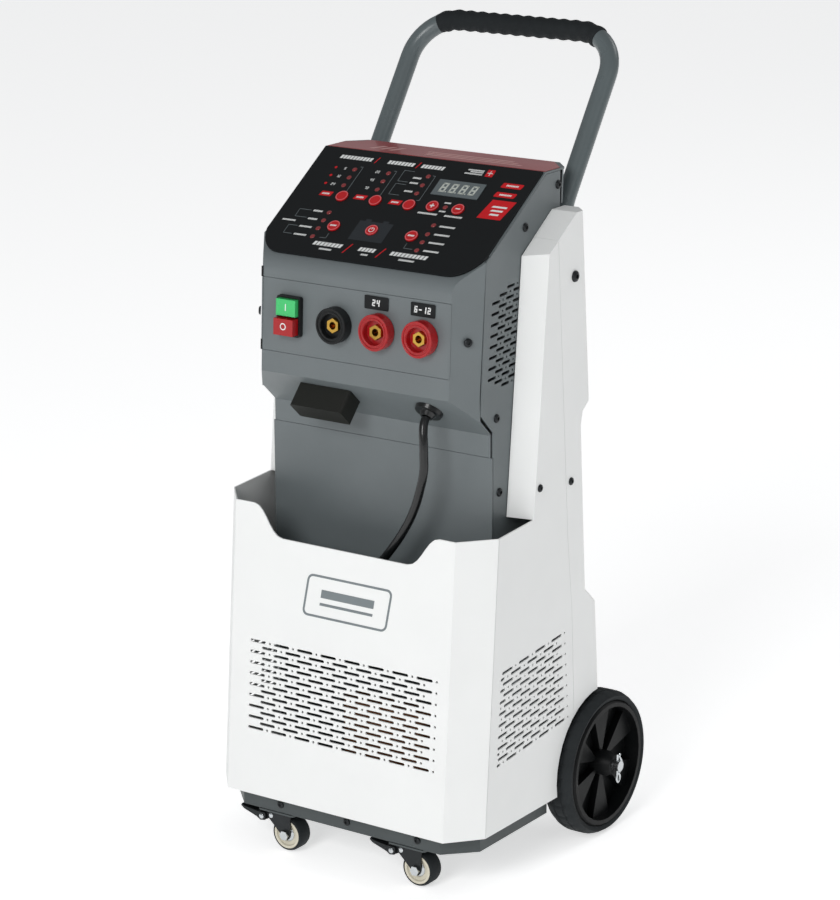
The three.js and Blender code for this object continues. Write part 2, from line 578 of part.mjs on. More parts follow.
function sidePanel() {
  const x = BODY.half - SHEET;
  const foldTop = BODY.frontTopY + BODY.cornerDepth + SEAM;
  const foldLow = frontY(BODY.bottomZ) + BODY.cornerDepth + SEAM;
  const flat = prism(outline([
    [foldLow, BODY.bottomZ], [foldTop, BODY.binTopZ], [WING.footY, WING.footZ],
    [WING.topY, wingTopZ(WING.topY)], [SEAM_LINE[4][0], wingTopZ(SEAM_LINE[4][0])],
    ...SEAM_LINE.slice(0, 4).reverse(), [SEAM_LINE[0][0], BODY.bottomZ],
  ]), SHEET, SIDE, x);
  const wingLean = (WING.topY - WING.footY) / (wingTopZ(WING.topY) - WING.footZ);
  const flange = leaned(prism(outline([
    [BODY.half - WING.flange, WING.footY - WING.flangeForward], [BODY.half, WING.footY],
    [BODY.half, WING.footY + SHEET], [BODY.half - WING.flange, WING.footY - WING.flangeForward + SHEET],
  ]), BIG, PLAN, WING.footZ), wingLean, WING.footZ);
  const roofRear = SEAM_LINE[4][0];
  const roofFront = WING.topY - 2 * WING.flangeForward;
  const roofThickness = SHEET * 1.2;
  const roof = prism(outline([
    [roofFront, wingTopZ(roofFront) - roofThickness], [roofFront, wingTopZ(roofFront)],
    [roofRear, wingTopZ(roofRear)], [roofRear, wingTopZ(roofRear) - roofThickness],
  ]), WING.flange, SIDE, BODY.half - WING.flange);
  const behindFlange = leaned(prism(outline([
    [BODY.half - WING.flange, WING.footY - WING.flangeForward], [BODY.half, WING.footY],
    [BODY.half, BIG / 4], [BODY.half - WING.flange, BIG / 4],
  ]), BIG, PLAN, WING.footZ), wingLean, WING.footZ);
  const underRoof = prism(outline([
    [WING.clearY, WING.footZ], [WING.clearY, wingTopZ(WING.clearY)], [roofRear, wingTopZ(roofRear)],
    [roofRear, WING.footZ],
  ]), WING.flange, SIDE, BODY.half - WING.flange);
  const slots = prism(dashRows(SIDE_VENT), BIG / 8, SIDE, BODY.half - BIG / 16);
  const hood = join(common(flange, underRoof), common(roof, behindFlange));
  return cut(join(flat, hood), slots, arch(BODY.half - BIG / 8, BODY.half + 10));
}

// Outline of the rear cover in Y and Z, with its rear edge moved back and its wall moved in.
// The outline of the hollow runs on past the front and the foot, so that both stay open.
function coverOutline(back, inset, hollow) {
  const [frontOver, footOver] = hollow ? [BIG / 8, 5] : [0, 0];
  const roof = inset * 1.2;
  const front = SEAM_LINE.map(([y, z]) => [y + SEAM - frontOver, z]);
  const topY = front[4][0];
  front[4] = [topY, wingTopZ(topY) - roof];
  const slopeEnd = [WING.slopeTopY, WING.topZ - roof];
  const rear = REAR_LINE.map(([y, z], i) => [y + back - inset, i ? z : z - roof]);
  rear[rear.length - 1][1] -= footOver;
  return [[front[0][0], BODY.bottomZ - footOver], ...front, slopeEnd, ...rear];
}

function rearCover() {
  const half = BODY.half;
  const solid = (inset, open) => loft([
    { x: -half + inset, points: coverOutline(0, inset, open) },
    { x: -half + REAR_CORNER + inset * 0.4, points: coverOutline(REAR_CORNER, inset, open) },
    { x: half - REAR_CORNER - inset * 0.4, points: coverOutline(REAR_CORNER, inset, open) },
    { x: half - inset, points: coverOutline(0, inset, open) },
  ]);
  const shell = cut(solid(0, false), solid(SHEET, true));
  const headSlot = block(-HEAD.half - SEAM, HEAD.half + SEAM, -60, HEAD.rearFootY + SEAM,
    WING.topZ - 60, HEAD.topZ);
  const archRight = arch(WHEEL.inner - 4.5, half + 20);
  const fanSlots = [];
  for (let i = 0; i < FAN_VENT.rows; i++) {
    const out = i - (FAN_VENT.rows - 1) / 2;
    const z = FAN_VENT.z + out * FAN_VENT.pitch;
    const reach = FAN_VENT.halfX * Math.sqrt(1 - (out / FAN_VENT.rows * 1.7) ** 2);
    const half = FAN_VENT.slot / 2;
    fanSlots.push(rectangle(FAN_VENT.x - reach, FAN_VENT.x + reach, z - half, z + half));
  }
  const fanCut = prism(fanSlots, 60, FRONT, -120);
  return cut(shell, headSlot, archRight, mirrored(archRight), fanCut);
}

function binFloor() {
  const z = BIN_FLOOR_Z;
  const inset = SHEET + SEAM;
  const halfFloor = BODY.half - inset;
  const front = frontY(z) + inset;
  const turn = BODY.frontHalf - inset * 0.45;
  const rear = HEAD.panelY - SEAM;
  const corner = front + BODY.cornerDepth;
  const sideRear = -2;
  const inner = HEAD.half + SEAM;
  const plan = outline([
    [-turn, front], [turn, front], [halfFloor, corner], [halfFloor, sideRear], [inner, sideRear],
    [inner, rear], [-inner, rear], [-inner, sideRear], [-halfFloor, sideRear], [-halfFloor, corner],
  ]);
  return prism(plan, SHEET, PLAN, z - SHEET);
}

// ---- running gear -------------------------------------------------------------------------

function trayPlan(inset) {
  const { setback, corner, half, neckHalf, neckY, rearY } = TRAY;
  const front = frontY(BODY.bottomZ) + setback + inset;
  const turn = half - corner - inset * 0.4;
  const right = [
    [turn, front], [half - inset, front + corner], [half - inset, neckY - inset],
    [neckHalf - inset, neckY + 10 - inset], [neckHalf - inset, rearY - inset],
  ];
  return outline([...right, ...right.map(([x, y]) => [-x, y]).reverse()]);
}

function baseTray() {
  const dish = cut(prism(trayPlan(0), TRAY.lipZ - TRAY.floorZ, PLAN, TRAY.floorZ),
    prism(trayPlan(TRAY.sheet), BIG, PLAN, TRAY.floorZ + TRAY.sheet));
  const ear = block(TRAY.neckHalf - TRAY.sheet, TRAY.neckHalf, TRAY.earY, TRAY.earEndY,
    TRAY.lipZ - 4, TRAY.earZ);
  const axleHole = barX(-BIG, BIG, AXLE.y, AXLE.z, AXLE.radius + AXLE.clear);
  return cut(join(dish, ear, mirrored(ear)), axleHole);
}

function axle() {
  const bar = barX(-AXLE.half, AXLE.half, AXLE.y, AXLE.z, AXLE.radius);
  const hole = barZ(CLIP.x, AXLE.y, AXLE.z - CLIP.leg, AXLE.z + CLIP.leg, CLIP.wire + CLEAR, 10);
  return cut(bar, hole, mirrored(hole));
}

function tyre() {
  const { radius: r, inner: a, outer: b, rimRadius: rim } = WHEEL;
  const seat = rim + CLEAR;
  return turnedX([
    [seat, a + 2], [seat + 4, a], [r - 5, a + 1.5], [r, a + 9], [r, b - 9], [r - 5, b - 1.5],
    [seat + 4, b], [seat, b - 2],
  ], 36);
}

function hub() {
  const { rimRadius: rim, dishRadius: dish, inner, outer, webX, webThickness: web } = WHEEL;
  const boreR = AXLE.radius + AXLE.clear;
  const ring = turnedX([
    [dish, inner + 4], [rim, inner + 2], [rim, outer - 2.4], [rim - 2, outer + 0.4], [dish, outer + 0.4],
  ], 36);
  const web0 = turnedX([[boreR, webX], [dish + 1, webX], [dish + 1, webX + web], [boreR, webX + web]], 36);
  const boss = turnedX([[boreR, inner], [WHEEL.bossRadius, inner], [WHEEL.bossRadius, WHEEL.bossX - 8],
    [WHEEL.bossRadius - 3.5, WHEEL.bossX], [boreR, WHEEL.bossX]], 20);
  const spokes = [];
  const spread = THREE.MathUtils.degToRad(WHEEL.spokeAngle) / 2;
  for (let i = 0; i < WHEEL.spokes; i++) {
    const at = (i + 0.5) * (2 * Math.PI / WHEEL.spokes);
    const tip = (angle, radius) => [radius * Math.cos(angle), radius * Math.sin(angle)];
    const wedge = outline([
      tip(at - 0.06, 8), tip(at - spread, dish + 2), tip(at + spread, dish + 2), tip(at + 0.06, 8),
    ]);
    spokes.push(prism(wedge, WHEEL.spokeHeight, SIDE, webX + 1));
  }
  const bore = barX(0, BIG, 0, 0, boreR, 20);
  return cut(join(ring, web0, boss, ...spokes), bore).translate(0, AXLE.y, AXLE.z);
}

// Path through given points, sampled only at those points.
class Stations extends THREE.Curve {
  constructor(points) {
    super();
    this.points = points;
  }

  getPoint(t) {
    const at = t * (this.points.length - 1);
    const i = Math.min(Math.floor(at + 1e-6), this.points.length - 2);
    return this.points[i].clone().lerp(this.points[i + 1], at - i);
  }

  getPointAt(u) {
    return this.getPoint(u);
  }

  getTangentAt(u) {
    const last = this.points.length - 1;
    const i = Math.round(u * last);
    const [before, after] = [Math.max(i - 1, 0), Math.min(i + 1, last)];
    const into = this.points[i].clone().sub(this.points[before]).normalize();
    return this.points[after].clone().sub(this.points[i]).normalize().add(into).normalize();
  }
}

function sweep(points, radius, sides) {
  const ring = new THREE.Shape();
  for (let i = 0; i < sides; i++) {
    const a = (i / sides) * Math.PI * 2;
    const [x, y] = [radius * Math.cos(a), radius * Math.sin(a)];
    if (i) ring.lineTo(x, y);
    else ring.moveTo(x, y);
  }
  return new THREE.ExtrudeGeometry(ring, {
    steps: points.length - 1, bevelEnabled: false, extrudePath: new Stations(points),
  });
}

// Spring clip: a straight leg through the axle, an eye below and a leg that hugs the axle.
function rClip() {
  const { x, wire, leg, eye, bulge } = CLIP;
  const at = (dy, dz) => vec(x, AXLE.y + dy, AXLE.z + dz);
  const points = [at(0, leg - 4), at(0, 4), at(0, -8), at(-1.4, -leg + 2), at(1.2, -leg - 2.2), at(eye, -leg),
    at(eye + 0.6, -leg + 4), at(3.2, -9.4), at(bulge - 0.6, -4.5), at(bulge + 0.4, 0), at(bulge - 1, 4),
    at(3.9, 9), at(5.2, 12.5)];
  return sweep(new THREE.CatmullRomCurve3(points).getPoints(26), wire, 6);
}

// ---- casters ------------------------------------------------------------------------------

function casterPlate(side) {
  const x = side * CASTER.x;
  const { plateTop: top, plateThickness: t, plateHalfX: hx, plateHalfY: hy } = CASTER;
  const plate = prism(roundedRectangle(x, CASTER.y, hx, hy, 4), t, PLAN, top - t, 3);
  return cut(plate, barZ(x, CASTER.y, 0, BIG, CASTER.kingHole));
}

function casterFork(side) {
  const x = side * CASTER.x;
  const wheelX = x + CASTER.offset;
  const { legTopZ: top, leg, legTopHalf: half, half: wheelHalf, radius, y } = CASTER;
  const inside = wheelHalf + 0.6;
  const shape = new THREE.Shape();
  shape.moveTo(x - half, top);
  shape.lineTo(x - half, top - 6);
  shape.lineTo(wheelX - 6, radius);
  shape.absarc(wheelX, radius, 6, Math.PI, Math.PI * 2);
  shape.lineTo(x + half, top - 6);
  shape.lineTo(x + half, top);
  const legs = prism(shape, 2 * (inside + leg), FRONT, -y - inside - leg, 6);
  const room = block(x - BIG, x + BIG, y - inside, y + inside, 0, top - leg - 0.2);
  const king = barZ(x, y, top - 1, CASTER.plateTop - 0.2, CASTER.kingRadius);
  const pin = barY(wheelX, y - inside - leg - 1.5, y + inside + leg + 1.5, radius, CASTER.pin, 16);
  const stub = barY(x + PEDAL.pivotX, y - inside - leg, y + inside + leg, PEDAL.pivotZ, PEDAL.pin, 12);
  const arms = [-1, 1].map((s) => {
    const y0 = s > 0 ? y + inside : y - inside - leg;
    return prism(outline([[x - half + 4, top - leg], [x + PEDAL.pivotX - 3, top - leg - 0.5],
      [x + PEDAL.pivotX - 3, PEDAL.pivotZ - 4], [x + PEDAL.pivotX + 4, PEDAL.pivotZ - 4],
      [x - half + 4, top - 9]]), leg, FRONT, -y0 - leg);
  });
  return join(cut(legs, room), king, pin, stub, ...arms);
}

function casterWheel(side) {
  const { radius: r, half, bore, offset, y } = CASTER;
  const x = side * CASTER.x + offset;
  const rising = [
    [bore, -half], [5, -half], [6, -half + 2.5], [12.5, -half + 2.5], [13.5, -half], [r - 2, -half],
    [r, -half + 3.5],
  ];
  const falling = rising.map(([a, b]) => [a, -b]).reverse();
  return turnedY([...rising, ...falling], 22).translate(x, y, r);
}

function brakePedal(side) {
  const x = side * CASTER.x;
  const { pivotX, pivotZ, earHalf, tipX, tipZ, thickness: t, pin } = PEDAL;
  const y = CASTER.y;
  const shape = outline([
    [x + pivotX + 5, pivotZ + 1], [x + pivotX + 4, pivotZ + 4.5], [x + pivotX - 6, tipZ - 3],
    [x + tipX + 4, tipZ - 1], [x + tipX, tipZ + 1.2], [x + tipX - 1, tipZ - 1], [x + tipX + 3, tipZ - 4],
    [x + pivotX - 7, pivotZ - 2], [x + pivotX - 2, pivotZ - 5], [x + pivotX + 4, pivotZ - 4],
  ]);
  const bar = prism(shape, 2 * (earHalf + t), FRONT, -y - earHalf - t);
  const room = block(x + pivotX - 6.5, x + 30, y - earHalf, y + earHalf, 0, BIG);
  const hole = barY(x + pivotX, y - 30, y + 30, pivotZ, pin + 0.4, 12);
  return cut(bar, room, hole);
}

// ---- handle -------------------------------------------------------------------------------

// Runs straight between corners, with each corner rounded to its own radius.
function filletPath(points, radii, pieces = 7) {
  const path = [points[0]];
  for (let i = 1; i + 1 < points.length; i++) {
    const corner = points[i];
    const back = points[i - 1].clone().sub(corner).normalize();
    const on = points[i + 1].clone().sub(corner).normalize();
    const halfAngle = back.angleTo(on) / 2;
    const radius = radii[i - 1];
    const inward = back.clone().add(on).normalize();
    const centre = corner.clone().addScaledVector(inward, radius / Math.sin(halfAngle));
    const across = on.clone().sub(back).normalize();
    const turn = Math.PI / 2 - halfAngle;
    const count = Math.max(2, Math.round((pieces * turn) / (Math.PI / 4)));
    for (let k = 0; k <= count; k++) {
      const angle = turn * ((2 * k) / count - 1);
      path.push(centre.clone().addScaledVector(inward, -radius * Math.cos(angle))
        .addScaledVector(across, radius * Math.sin(angle)));
    }
  }
  return [...path, points[points.length - 1]];
}

function handlePath() {
  const h = HANDLE;
  const half = [vec(h.half, h.footY, h.footZ), vec(h.half, h.kinkY, h.kinkZ), vec(h.half, h.topY, h.topZ)];
  const other = half.map((p) => vec(-p.x, p.y, p.z)).reverse();
  return filletPath([...half, ...other], [h.kink, h.corner, h.corner, h.kink]);
}

function handleTube() {
  return sweep(handlePath(), HANDLE.radius, 14);
}

function handleGrip() {
  const h = HANDLE;
  const lean = vec(0, h.topY - h.kinkY, h.topZ - h.kinkZ).normalize();
  const end = (side) => vec(side * h.half, h.topY, h.topZ).addScaledVector(lean, -60);
  const corners = [vec(h.half, h.topY, h.topZ), vec(-h.half, h.topY, h.topZ)];
  const path = filletPath([end(1), ...corners, end(-1)], [h.corner, h.corner]);
  const sleeve = cut(sweep(path, h.gripOuter, 14), sweep(path, h.gripInner, 14));
  return common(sleeve, block(-h.gripHalf, h.gripHalf, 0, BIG, h.topZ - h.corner, h.topZ + h.corner));
}

// Crossing bracket with a saddle over each leg of the handle, flat on the rear cover.
function handleBracket() {
  const h = HANDLE;
  const [low, high] = CLAMP.z;
  const legY = (z) => h.footY + ((z - h.footZ) / (h.kinkZ - h.footZ)) * (h.kinkY - h.footY);
  const wall = (z) => REAR_LINE[0][0] + REAR_CORNER + CLEAR
    + ((REAR_LINE[0][1] - z) / (REAR_LINE[0][1] - REAR_LINE[1][1])) * (REAR_LINE[1][0] - REAR_LINE[0][0]);
  const outer = h.radius + CLEAR + CLAMP.thickness;
  const slab = (reach, half, x) => prism(outline([
    [wall(low), low], [reach(low), low], [reach(high), high], [wall(high), high],
  ]), 2 * half, SIDE, x - half);
  const strap = slab((z) => wall(z) + CLAMP.thickness, h.half + outer + CLAMP.wallX, 0);
  const saddles = [-1, 1].map((side) => slab((z) => legY(z) + outer, outer, side * h.half));
  const end = (side, z) => vec(side * h.half, legY(z), z);
  const channel = (side) => sweep([end(side, low - 40), end(side, high + 40)], h.radius + 2 * CLEAR, 14);
  return cut(join(strap, ...saddles), channel(-1), channel(1));
}

// ---- mains lead ---------------------------------------------------------------------------

function mainsLead() {
  const points = CORD_ROUTE.map(([x, y, z]) => vec(x, y, z));
  return sweep(new THREE.CatmullRomCurve3(points).getSpacedPoints(20), CORD.radius, CORD.sides);
}

function leadHank() {
  const round = HANK.width / 2 - 0.01;
  const shape = roundedRectangle(HANK.x, HANK.y, (HANK.run + HANK.width) / 2, HANK.width / 2, round);
  return prism(shape, HANK.height, PLAN, BIN_FLOOR_Z + CLEAR, 10);
}

// Plug that leans from the end of the hank down to the bin floor.
function mainsPlug() {
  const { tip, drop, turn, tipRadius, neck, shoulder, radius, length, pin, pinLength, pinHalf } = PLUG;
  const profile = [
    [0, 0], [tipRadius, 0], [tipRadius + 2, neck], [radius - 1, shoulder], [radius, shoulder + 4],
    [radius, length], [0, length],
  ];
  const body = new THREE.LatheGeometry(profile.map(([r, h]) => new THREE.Vector2(r, h)), 20);
  const pins = [-1, 1].map((s) => new THREE.CylinderGeometry(pin, pin, pinLength + 4, 10)
    .translate(s * pinHalf, length + pinLength / 2 - 2, 0));
  return join(body, ...pins).rotateZ(-Math.PI / 2).rotateY(THREE.MathUtils.degToRad(drop))
    .rotateZ(THREE.MathUtils.degToRad(-turn)).translate(...tip);
}

// ---- inside -------------------------------------------------------------------------------

function transformerCore() {
  const { y, coreX, coreY, coreZ, leg, window: gap } = TRANSFORMER;
  const z0 = TRAY.floorZ + TRAY.sheet + CLEAR;
  const solid = block(-coreX, coreX, y - coreY, y + coreY, z0, z0 + coreZ);
  const windows = [-1, 1].map((s) => {
    const x0 = s > 0 ? leg : -leg - gap;
    return block(x0, x0 + gap, y - coreY - 5, y + coreY + 5, z0 + leg, z0 + coreZ - leg);
  });
  return cut(solid, ...windows);
}

function transformerWinding() {
  const { y, coreY, coreZ, leg, window: gap, coilClear: c, coilY } = TRANSFORMER;
  const z0 = TRAY.floorZ + TRAY.sheet + CLEAR;
  const shape = roundedRectangle(0, y, leg + gap - c, coilY, 8);
  const outer = prism(shape, coreZ - 2 * leg - 2 * c, PLAN, z0 + leg + c, 5);
  return cut(outer, block(-leg - c, leg + c, y - coreY - c, y + coreY + c, 0, BIG));
}

function fanFrame() {
  const { y, half, depth, bladeRadius, pin } = FAN;
  const z = FAN_VENT.z;
  const frameBox = prism(roundedRectangle(FAN_VENT.x, z, half, half, 6), depth, FRONT, -y - depth, 4);
  const tunnel = barY(FAN_VENT.x, -BIG, BIG, z, bladeRadius + 2, 30);
  const spider = [block(-half + 2, half - 2, y + depth - 3, y + depth, z - 3, z + 3),
    block(-3, 3, y + depth - 3, y + depth, z - half + 2, z + half - 2)];
  const pivot = barY(FAN_VENT.x, y + 5, y + depth - 1, z, pin, 16);
  return join(cut(frameBox, tunnel), ...spider, pivot);
}

function fanRotor() {
  const { y, depth, bladeRadius, hubRadius, bore, blades } = FAN;
  const z = FAN_VENT.z;
  const hubBody = barY(0, y + 2, y + depth - 5, 0, hubRadius, 28);
  const vanes = [];
  for (let i = 0; i < blades; i++) {
    const vane = new THREE.BoxGeometry(bladeRadius - hubRadius + 3, 1.6, 26)
      .translate((bladeRadius + hubRadius) / 2 - 1.5, 0, 0).rotateX(0.6)
      .translate(0, y + depth / 2 - 2, 0).rotateY((i * 2 * Math.PI) / blades);
    vanes.push(vane);
  }
  return cut(join(hubBody, ...vanes), barY(0, 0, BIG, 0, bore, 16)).translate(FAN_VENT.x, 0, z);
}

function heatSink() {
  const { x, y, z, halfX, halfZ, depth, base, fins, fin } = SINK;
  const plate = block(x - halfX, x + halfX, y, y + base, z - halfZ, z + halfZ);
  const ribs = [];
  for (let i = 0; i < fins; i++) {
    const at = x + ((i - (fins - 1) / 2) * (2 * halfX - fin)) / (fins - 1);
    ribs.push(block(at - fin / 2, at + fin / 2, y + base - 1, y + depth, z - halfZ, z + halfZ));
  }
  return join(plate, ...ribs);
}

function controlBoard() {
  const { half, top, bottom, thickness, under } = BOARD;
  return prism(rectangle(-half, half, -bottom, -top), thickness, FACE_FRAME, -under - thickness);
}

function startRelay() {
  const { x, y, z, halfX, halfY, halfZ } = RELAY;
  const body = prism(roundedRectangle(x, y, halfX, halfY, 3), 2 * halfZ, PLAN, z - halfZ, 3);
  const studs = [-1, 1].map((s) => barZ(x + s * 12, y, z + halfZ - 1, z + halfZ + 12, 4, 6));
  return join(body, ...studs);
}

// ---- assembly -----------------------------------------------------------------------------

const FINISH = {
  white: [0xf2f3f2, 0.42, 0],
  grey: [0x6d7476, 0.5, 0.1],
  dark: [0x2a2d2f, 0.6, 0],
  steel: [0xb9bdbf, 0.3, 1],
  zinc: [0xc9ccce, 0.32, 1],
  black: [0x16181a, 0.45, 0],
  red: [0xc01822, 0.35, 0],
  green: [0x2fae5a, 0.4, 0],
  brass: [0xc79a3a, 0.3, 1],
  rubber: [0x1c1e20, 0.85, 0],
  copper: [0xb0683c, 0.4, 1],
  board: [0x1f5a35, 0.6, 0],
  iron: [0x4a4d50, 0.6, 0.6],
  glass: [0x2b3136, 0.15, 0],
  alloy: [0xa9adb0, 0.4, 1],
  tube: [0x8e9698, 0.4, 0.2],
};

const machine = new THREE.Group();

function add(name, geometry, finish) {
  const [color, roughness, metalness] = FINISH[finish];
  const material = new THREE.MeshStandardMaterial({ color, roughness, metalness });
  const mesh = new THREE.Mesh(weld(geometry), material);
  mesh.name = name;
  machine.add(mesh);
}

function addPair(name, geometry, finish) {
  add(`${name}_right`, geometry, finish);
  add(`${name}_left`, mirrored(geometry), finish);
}

add('base_tray', baseTray(), 'dark');
add('front_panel', frontPanel(), 'white');
addPair('side_panel', sidePanel(), 'white');
add('rear_cover', rearCover(), 'white');
add('bin_floor', binFloor(), 'grey');
add('head_cover', headCover(), 'grey');
add('terminal_panel', terminalPanel(), 'grey');
add('lower_panel', lowerPanel(), 'grey');
addPair('side_plate', sidePlate(), 'grey');
add('control_membrane', controlMembrane(), 'black');
add('display_window', displayWindow(), 'glass');
for (const [name, place] of Object.entries(BUTTONS)) add(name, faceButton(place), 'red');
['negative', 'positive_24v', 'positive_12v'].forEach((name, i) => {
  add(`socket_${name}`, socket(SOCKET.xs[i]), i ? 'red' : 'black');
  add(`insert_${name}`, socketInsert(SOCKET.xs[i]), 'brass');
});
add('switch_housing', switchHousing(), 'black');
add('switch_on', switchButton(1, SWITCH.onProud), 'green');
add('switch_off', switchButton(-1, SWITCH.offProud), 'red');
add('clamp_block', clampBlock(), 'black');
add('cord_grommet', grommet(), 'rubber');
add('mains_lead', mainsLead(), 'rubber');
add('lead_hank', leadHank(), 'rubber');
add('mains_plug', mainsPlug(), 'rubber');
add('handle_tube', handleTube(), 'tube');
add('handle_grip', handleGrip(), 'rubber');
add('handle_bracket', handleBracket(), 'dark');
add('rear_axle', axle(), 'steel');
addPair('wheel_tyre', tyre().translate(0, AXLE.y, AXLE.z), 'rubber');
addPair('wheel_hub', hub(), 'dark');
addPair('axle_clip', rClip(), 'zinc');
for (const [name, side] of [['right', 1], ['left', -1]]) {
  add(`caster_plate_${name}`, casterPlate(side), 'zinc');
  add(`caster_fork_${name}`, casterFork(side), 'dark');
  add(`caster_wheel_${name}`, casterWheel(side), 'rubber');
  add(`brake_pedal_${name}`, brakePedal(side), 'dark');
}
add('transformer_core', transformerCore(), 'iron');
add('transformer_winding', transformerWinding(), 'copper');
add('fan_frame', fanFrame(), 'black');
add('fan_rotor', fanRotor(), 'black');
add('rectifier_heatsink', heatSink(), 'alloy');
add('control_board', controlBoard(), 'board');
add('start_relay', startRelay(), 'black');

export default machine;
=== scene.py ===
"""Trolley battery charger and starter: finishes, printed face, vents, lead and studio."""

from __future__ import annotations

import json
import logging
import math
from dataclasses import dataclass, field
from enum import Enum

import bmesh
import bpy
from mathutils import Matrix, Vector

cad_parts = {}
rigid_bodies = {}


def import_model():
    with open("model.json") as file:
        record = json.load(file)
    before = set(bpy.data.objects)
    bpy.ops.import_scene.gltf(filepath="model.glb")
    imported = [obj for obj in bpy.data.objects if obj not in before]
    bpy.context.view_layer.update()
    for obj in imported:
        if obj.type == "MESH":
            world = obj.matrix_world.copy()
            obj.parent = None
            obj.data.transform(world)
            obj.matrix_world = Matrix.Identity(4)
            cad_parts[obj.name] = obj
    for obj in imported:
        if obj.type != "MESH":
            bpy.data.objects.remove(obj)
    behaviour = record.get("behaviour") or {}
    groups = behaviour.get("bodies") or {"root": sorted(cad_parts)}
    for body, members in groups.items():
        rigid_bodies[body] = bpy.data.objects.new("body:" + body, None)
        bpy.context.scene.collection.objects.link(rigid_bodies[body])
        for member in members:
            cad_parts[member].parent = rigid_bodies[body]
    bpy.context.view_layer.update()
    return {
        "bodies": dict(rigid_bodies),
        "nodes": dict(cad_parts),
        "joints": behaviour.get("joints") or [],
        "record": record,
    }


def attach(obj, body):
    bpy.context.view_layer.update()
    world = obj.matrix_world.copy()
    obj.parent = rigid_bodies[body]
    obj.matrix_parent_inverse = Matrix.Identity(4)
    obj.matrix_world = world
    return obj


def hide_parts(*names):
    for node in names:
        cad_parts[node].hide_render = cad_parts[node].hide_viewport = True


LOG = logging.getLogger("charger")
MM = 0.001
Point = tuple[float, float]
Outline = list[Point]


class Body(Enum):
    """Names of the rigid bodies that pieces ride on."""

    CHASSIS = "chassis"
    SWITCH_ON = "switch_on_button"
    SWITCH_OFF = "switch_off_button"


def linear(colour: str) -> tuple[float, float, float, float]:
    """Turns an sRGB hex colour into linear light.

    Args:
        colour: Six hex digits after a hash.

    Returns:
        Red, green, blue and alpha, each from 0 to 1.
    """
    parts = [int(colour[i : i + 2], 16) / 255 for i in (1, 3, 5)]
    bright = [c / 12.92 if c <= 0.04045 else ((c + 0.055) / 1.055) ** 2.4 for c in parts]
    return (bright[0], bright[1], bright[2], 1.0)


def add_node(tree: bpy.types.NodeTree, kind: str, inputs: dict | None = None, **settings) -> bpy.types.Node:
    """Adds one shader node.

    Args:
        tree: The node tree that gets it.
        kind: Blender's name of the node type.
        inputs: A value or a socket to link, for each input by name or number.
        **settings: Properties of the node itself.

    Returns:
        The new node.
    """
    made = tree.nodes.new(kind)
    for name, value in settings.items():
        setattr(made, name, value)
    for key, value in (inputs or {}).items():
        if isinstance(value, bpy.types.NodeSocket):
            tree.links.new(value, made.inputs[key])
        else:
            made.inputs[key].default_value = value
    return made


class Texture(Enum):
    """How the surface relief of a finish is made."""

    GRAIN = "even grain"
    PEBBLE = "small rounded cells"
    DRAWN = "lines along one direction"


